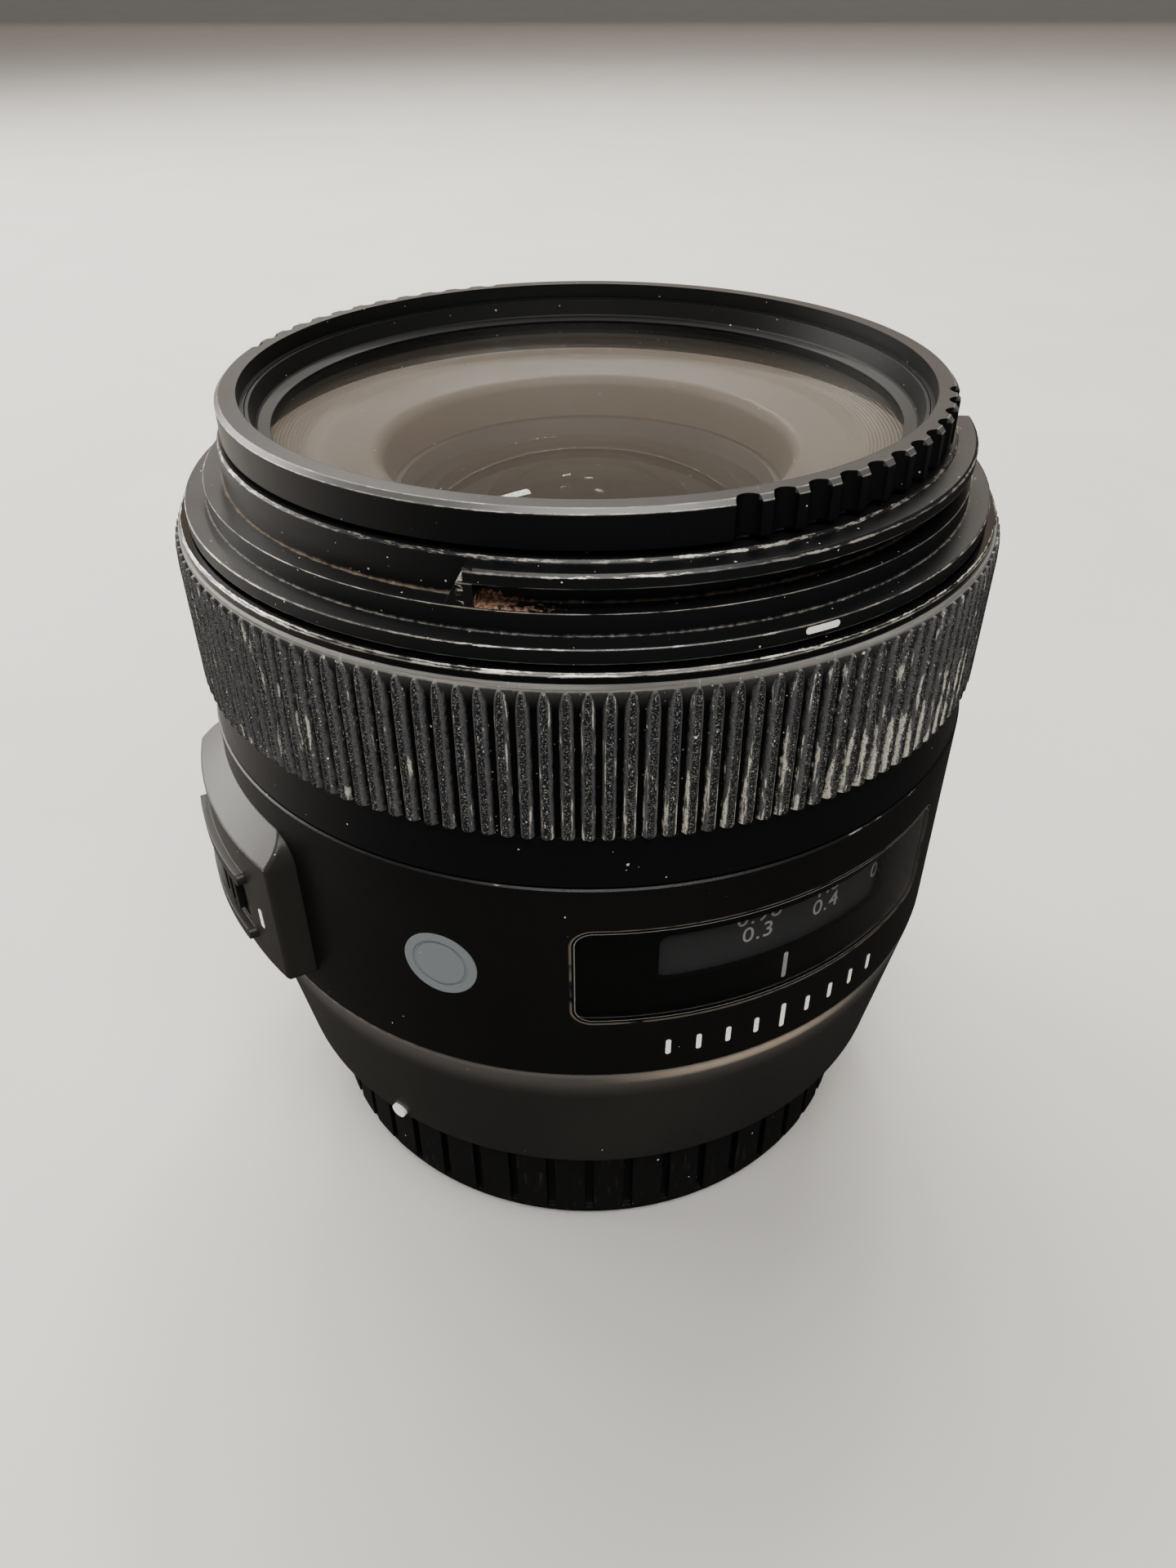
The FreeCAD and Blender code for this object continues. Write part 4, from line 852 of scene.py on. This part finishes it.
def box_shape(half_width, height):
    """A short upright bar, in the same form as a number."""
    verts = [(x, y, z) for z in (-0.02, 0.02) for x, y in
             ((-half_width, 0), (half_width, 0), (half_width, height), (-half_width, height))]
    faces = [(0, 3, 2, 1), (4, 5, 6, 7), (0, 1, 5, 4), (1, 2, 6, 5), (2, 3, 7, 6), (3, 0, 4, 7)]
    return verts, faces


def scale_marks():
    """Numbers and ticks of both rows, bent round the drum."""
    drum = radius_of("distance_scale")
    items = []
    for text, distance in (("0.3", 0.3), ("0.4", 0.4), ("0.7", 0.7), ("1", 1.0), ("2", 2.0)):
        items.append((flat_text(text, 1.75), mark_azimuth(distance), 28.75))
    for text, distance in (("0.98", 0.3), ("1.3", 0.4), ("2.5", 0.76), ("4", 1.22), ("8", 2.44)):
        items.append((flat_text(text, 1.75), mark_azimuth(distance), 30.75))
    for distance in (0.85, 1.4, 4.0):
        items.append((box_shape(0.09, 0.9), mark_azimuth(distance), 29.1))
    items.append((flat_text("∞", 1.6), mark_azimuth(None), 28.75))
    verts, faces = [], []
    for (shape_verts, shape_faces), azimuth, foot in items:
        first = len(verts)
        for x, y, z in shape_verts:
            angle = math.radians(azimuth - 90) + x / drum
            radius = drum + 0.01 + z
            verts.append((radius * math.cos(angle) * MM, radius * math.sin(angle) * MM, (foot + y) * MM))
        faces += [tuple(first + v for v in face) for face in shape_faces]
    mesh = bpy.data.meshes.new("scale_marks")
    mesh.from_pydata(verts, [], faces)
    mesh.update()
    mesh.materials.append(white_paint())
    piece = bpy.data.objects.new("scale_marks", mesh)
    bpy.context.scene.collection.objects.link(piece)
    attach(piece, "cam_ring")
    return piece


# ---------------------------------------------------------------- studio

def floor():
    """Plain pale floor that curves up far behind the lens; glossy rays see it in painted shade near the lens, lighter
    behind.
    """
    level = cad_box[0].z
    profile = [(-6.0, level)] + [(2.5 + 1.5 * math.sin(math.radians(a)), level + 1.5 - 1.5 * math.cos(math.radians(a)))
                                 for a in range(0, 91, 10)] + [(4.0, 6.0)]
    verts = [(x, y, z) for y, z in profile for x in (-40.0, 40.0)]
    faces = [(2 * n, 2 * n + 1, 2 * n + 3, 2 * n + 2) for n in range(len(profile) - 1)]
    mesh = bpy.data.meshes.new("floor")
    mesh.from_pydata(verts, [], faces)
    mesh.polygons.foreach_set("use_smooth", [True] * len(faces))
    look = Look("floor_paint", (0.60, 0.59, 0.57), 0.75)
    look.layer(look.smooth(look.noise(0.02, 3.0), 0.3, 0.7), (0.62, 0.61, 0.59))
    # Painted shade in reflections: glossy rays see the floor dark near the lens, lighter behind it and pale far away.
    behind = look.math("SUBTRACT", look.math("MULTIPLY", look.y, 0.6), look.x)
    painted_reflected_floor = look.blend_colour(look.smooth(behind, 20.0, 260.0), (0.02, 0.019, 0.018), (0.34, 0.32, 0.30))
    painted_reflected_floor = look.blend_colour(look.smooth(look.y, 900.0, 2600.0), painted_reflected_floor, (0.60, 0.57, 0.52))
    path = look.tree.nodes.new("ShaderNodeLightPath")
    look.colour = look.blend_colour(path.outputs["Is Glossy Ray"], look.colour, painted_reflected_floor)
    mesh.materials.append(look.done())
    piece = bpy.data.objects.new("floor", mesh)
    bpy.context.scene.collection.objects.link(piece)


def lamp(name, place, target, size, power, colour, seen_through_glass=False):
    """Soft rectangular lamp aimed at a point; most are left out of what is seen through glass."""
    light = bpy.data.lights.new(name, "AREA")
    light.shape = "RECTANGLE"
    light.size, light.size_y = size
    light.energy = power
    light.color = colour
    piece = bpy.data.objects.new(name, light)
    piece.location = place
    piece.rotation_euler = (Vector(target) - Vector(place)).to_track_quat("-Z", "Y").to_euler()
    piece.visible_transmission = seen_through_glass
    bpy.context.scene.collection.objects.link(piece)


def lights():
    """Large lamps behind and above, as from a bright room, and a few small ones for glints."""
    middle = (0, 0, 0.03)
    lamp("wall_lamp", (-0.15, 0.70, 1.0), middle, (1.5, 0.6), 17.0, (1.0, 0.96, 0.90))
    lamp("left_lamp", (-0.9, 0.35, 0.32), middle, (0.8, 0.6), 8.0, (1.0, 0.97, 0.93))
    lamp("ceiling_lamp", (0.1, -0.55, 1.0), middle, (1.0, 0.6), 9.5, (1.0, 0.97, 0.93))
    lamp("far_wall", (0.1, 2.2, 0.75), (0, 0, 0.06), (2.6, 1.1), 3.5, (1.0, 0.78, 0.63))
    for number, place in enumerate(((-0.25, 1.00, 0.75), (0.02, 0.95, 0.95), (0.15, 0.55, 1.10))):
        lamp(f"glint_{number + 1}", place, middle, (0.10, 0.06), 1.2, (1.0, 0.98, 0.94), True)
    world = bpy.data.worlds.new("studio")
    world.use_nodes = True
    world.node_tree.nodes["Background"].inputs[0].default_value = (0.80, 0.78, 0.75, 1)
    world.node_tree.nodes["Background"].inputs[1].default_value = 0.30
    bpy.context.scene.world = world


def camera():
    """Phone camera close to the lens, looking down at it."""
    data = bpy.data.cameras.new("camera")
    data.sensor_fit = "VERTICAL"
    data.sensor_width = 36.0
    data.sensor_height = 36.0
    data.lens = 36.0 * 1386 / 1920
    data.clip_start = 0.005
    data.dof.use_dof = False
    piece = bpy.data.objects.new("camera", data)
    piece.location = Vector((0, -101.5, 96.2)) * MM
    pitch, yaw, roll = math.radians(90 - 36.45), math.radians(-0.09), math.radians(0.15)
    piece.rotation_euler = (pitch, roll, yaw)
    bpy.context.scene.collection.objects.link(piece)
    bpy.context.scene.camera = piece


finish_nodes()
ribbed_grip()
ridged_cone()
scale_marks()
floor()
lights()
camera()
bpy.context.scene.view_settings.look = "AgX - Medium High Contrast"
bpy.context.scene.cycles.transmission_bounces = 24
bpy.context.scene.cycles.max_bounces = 24
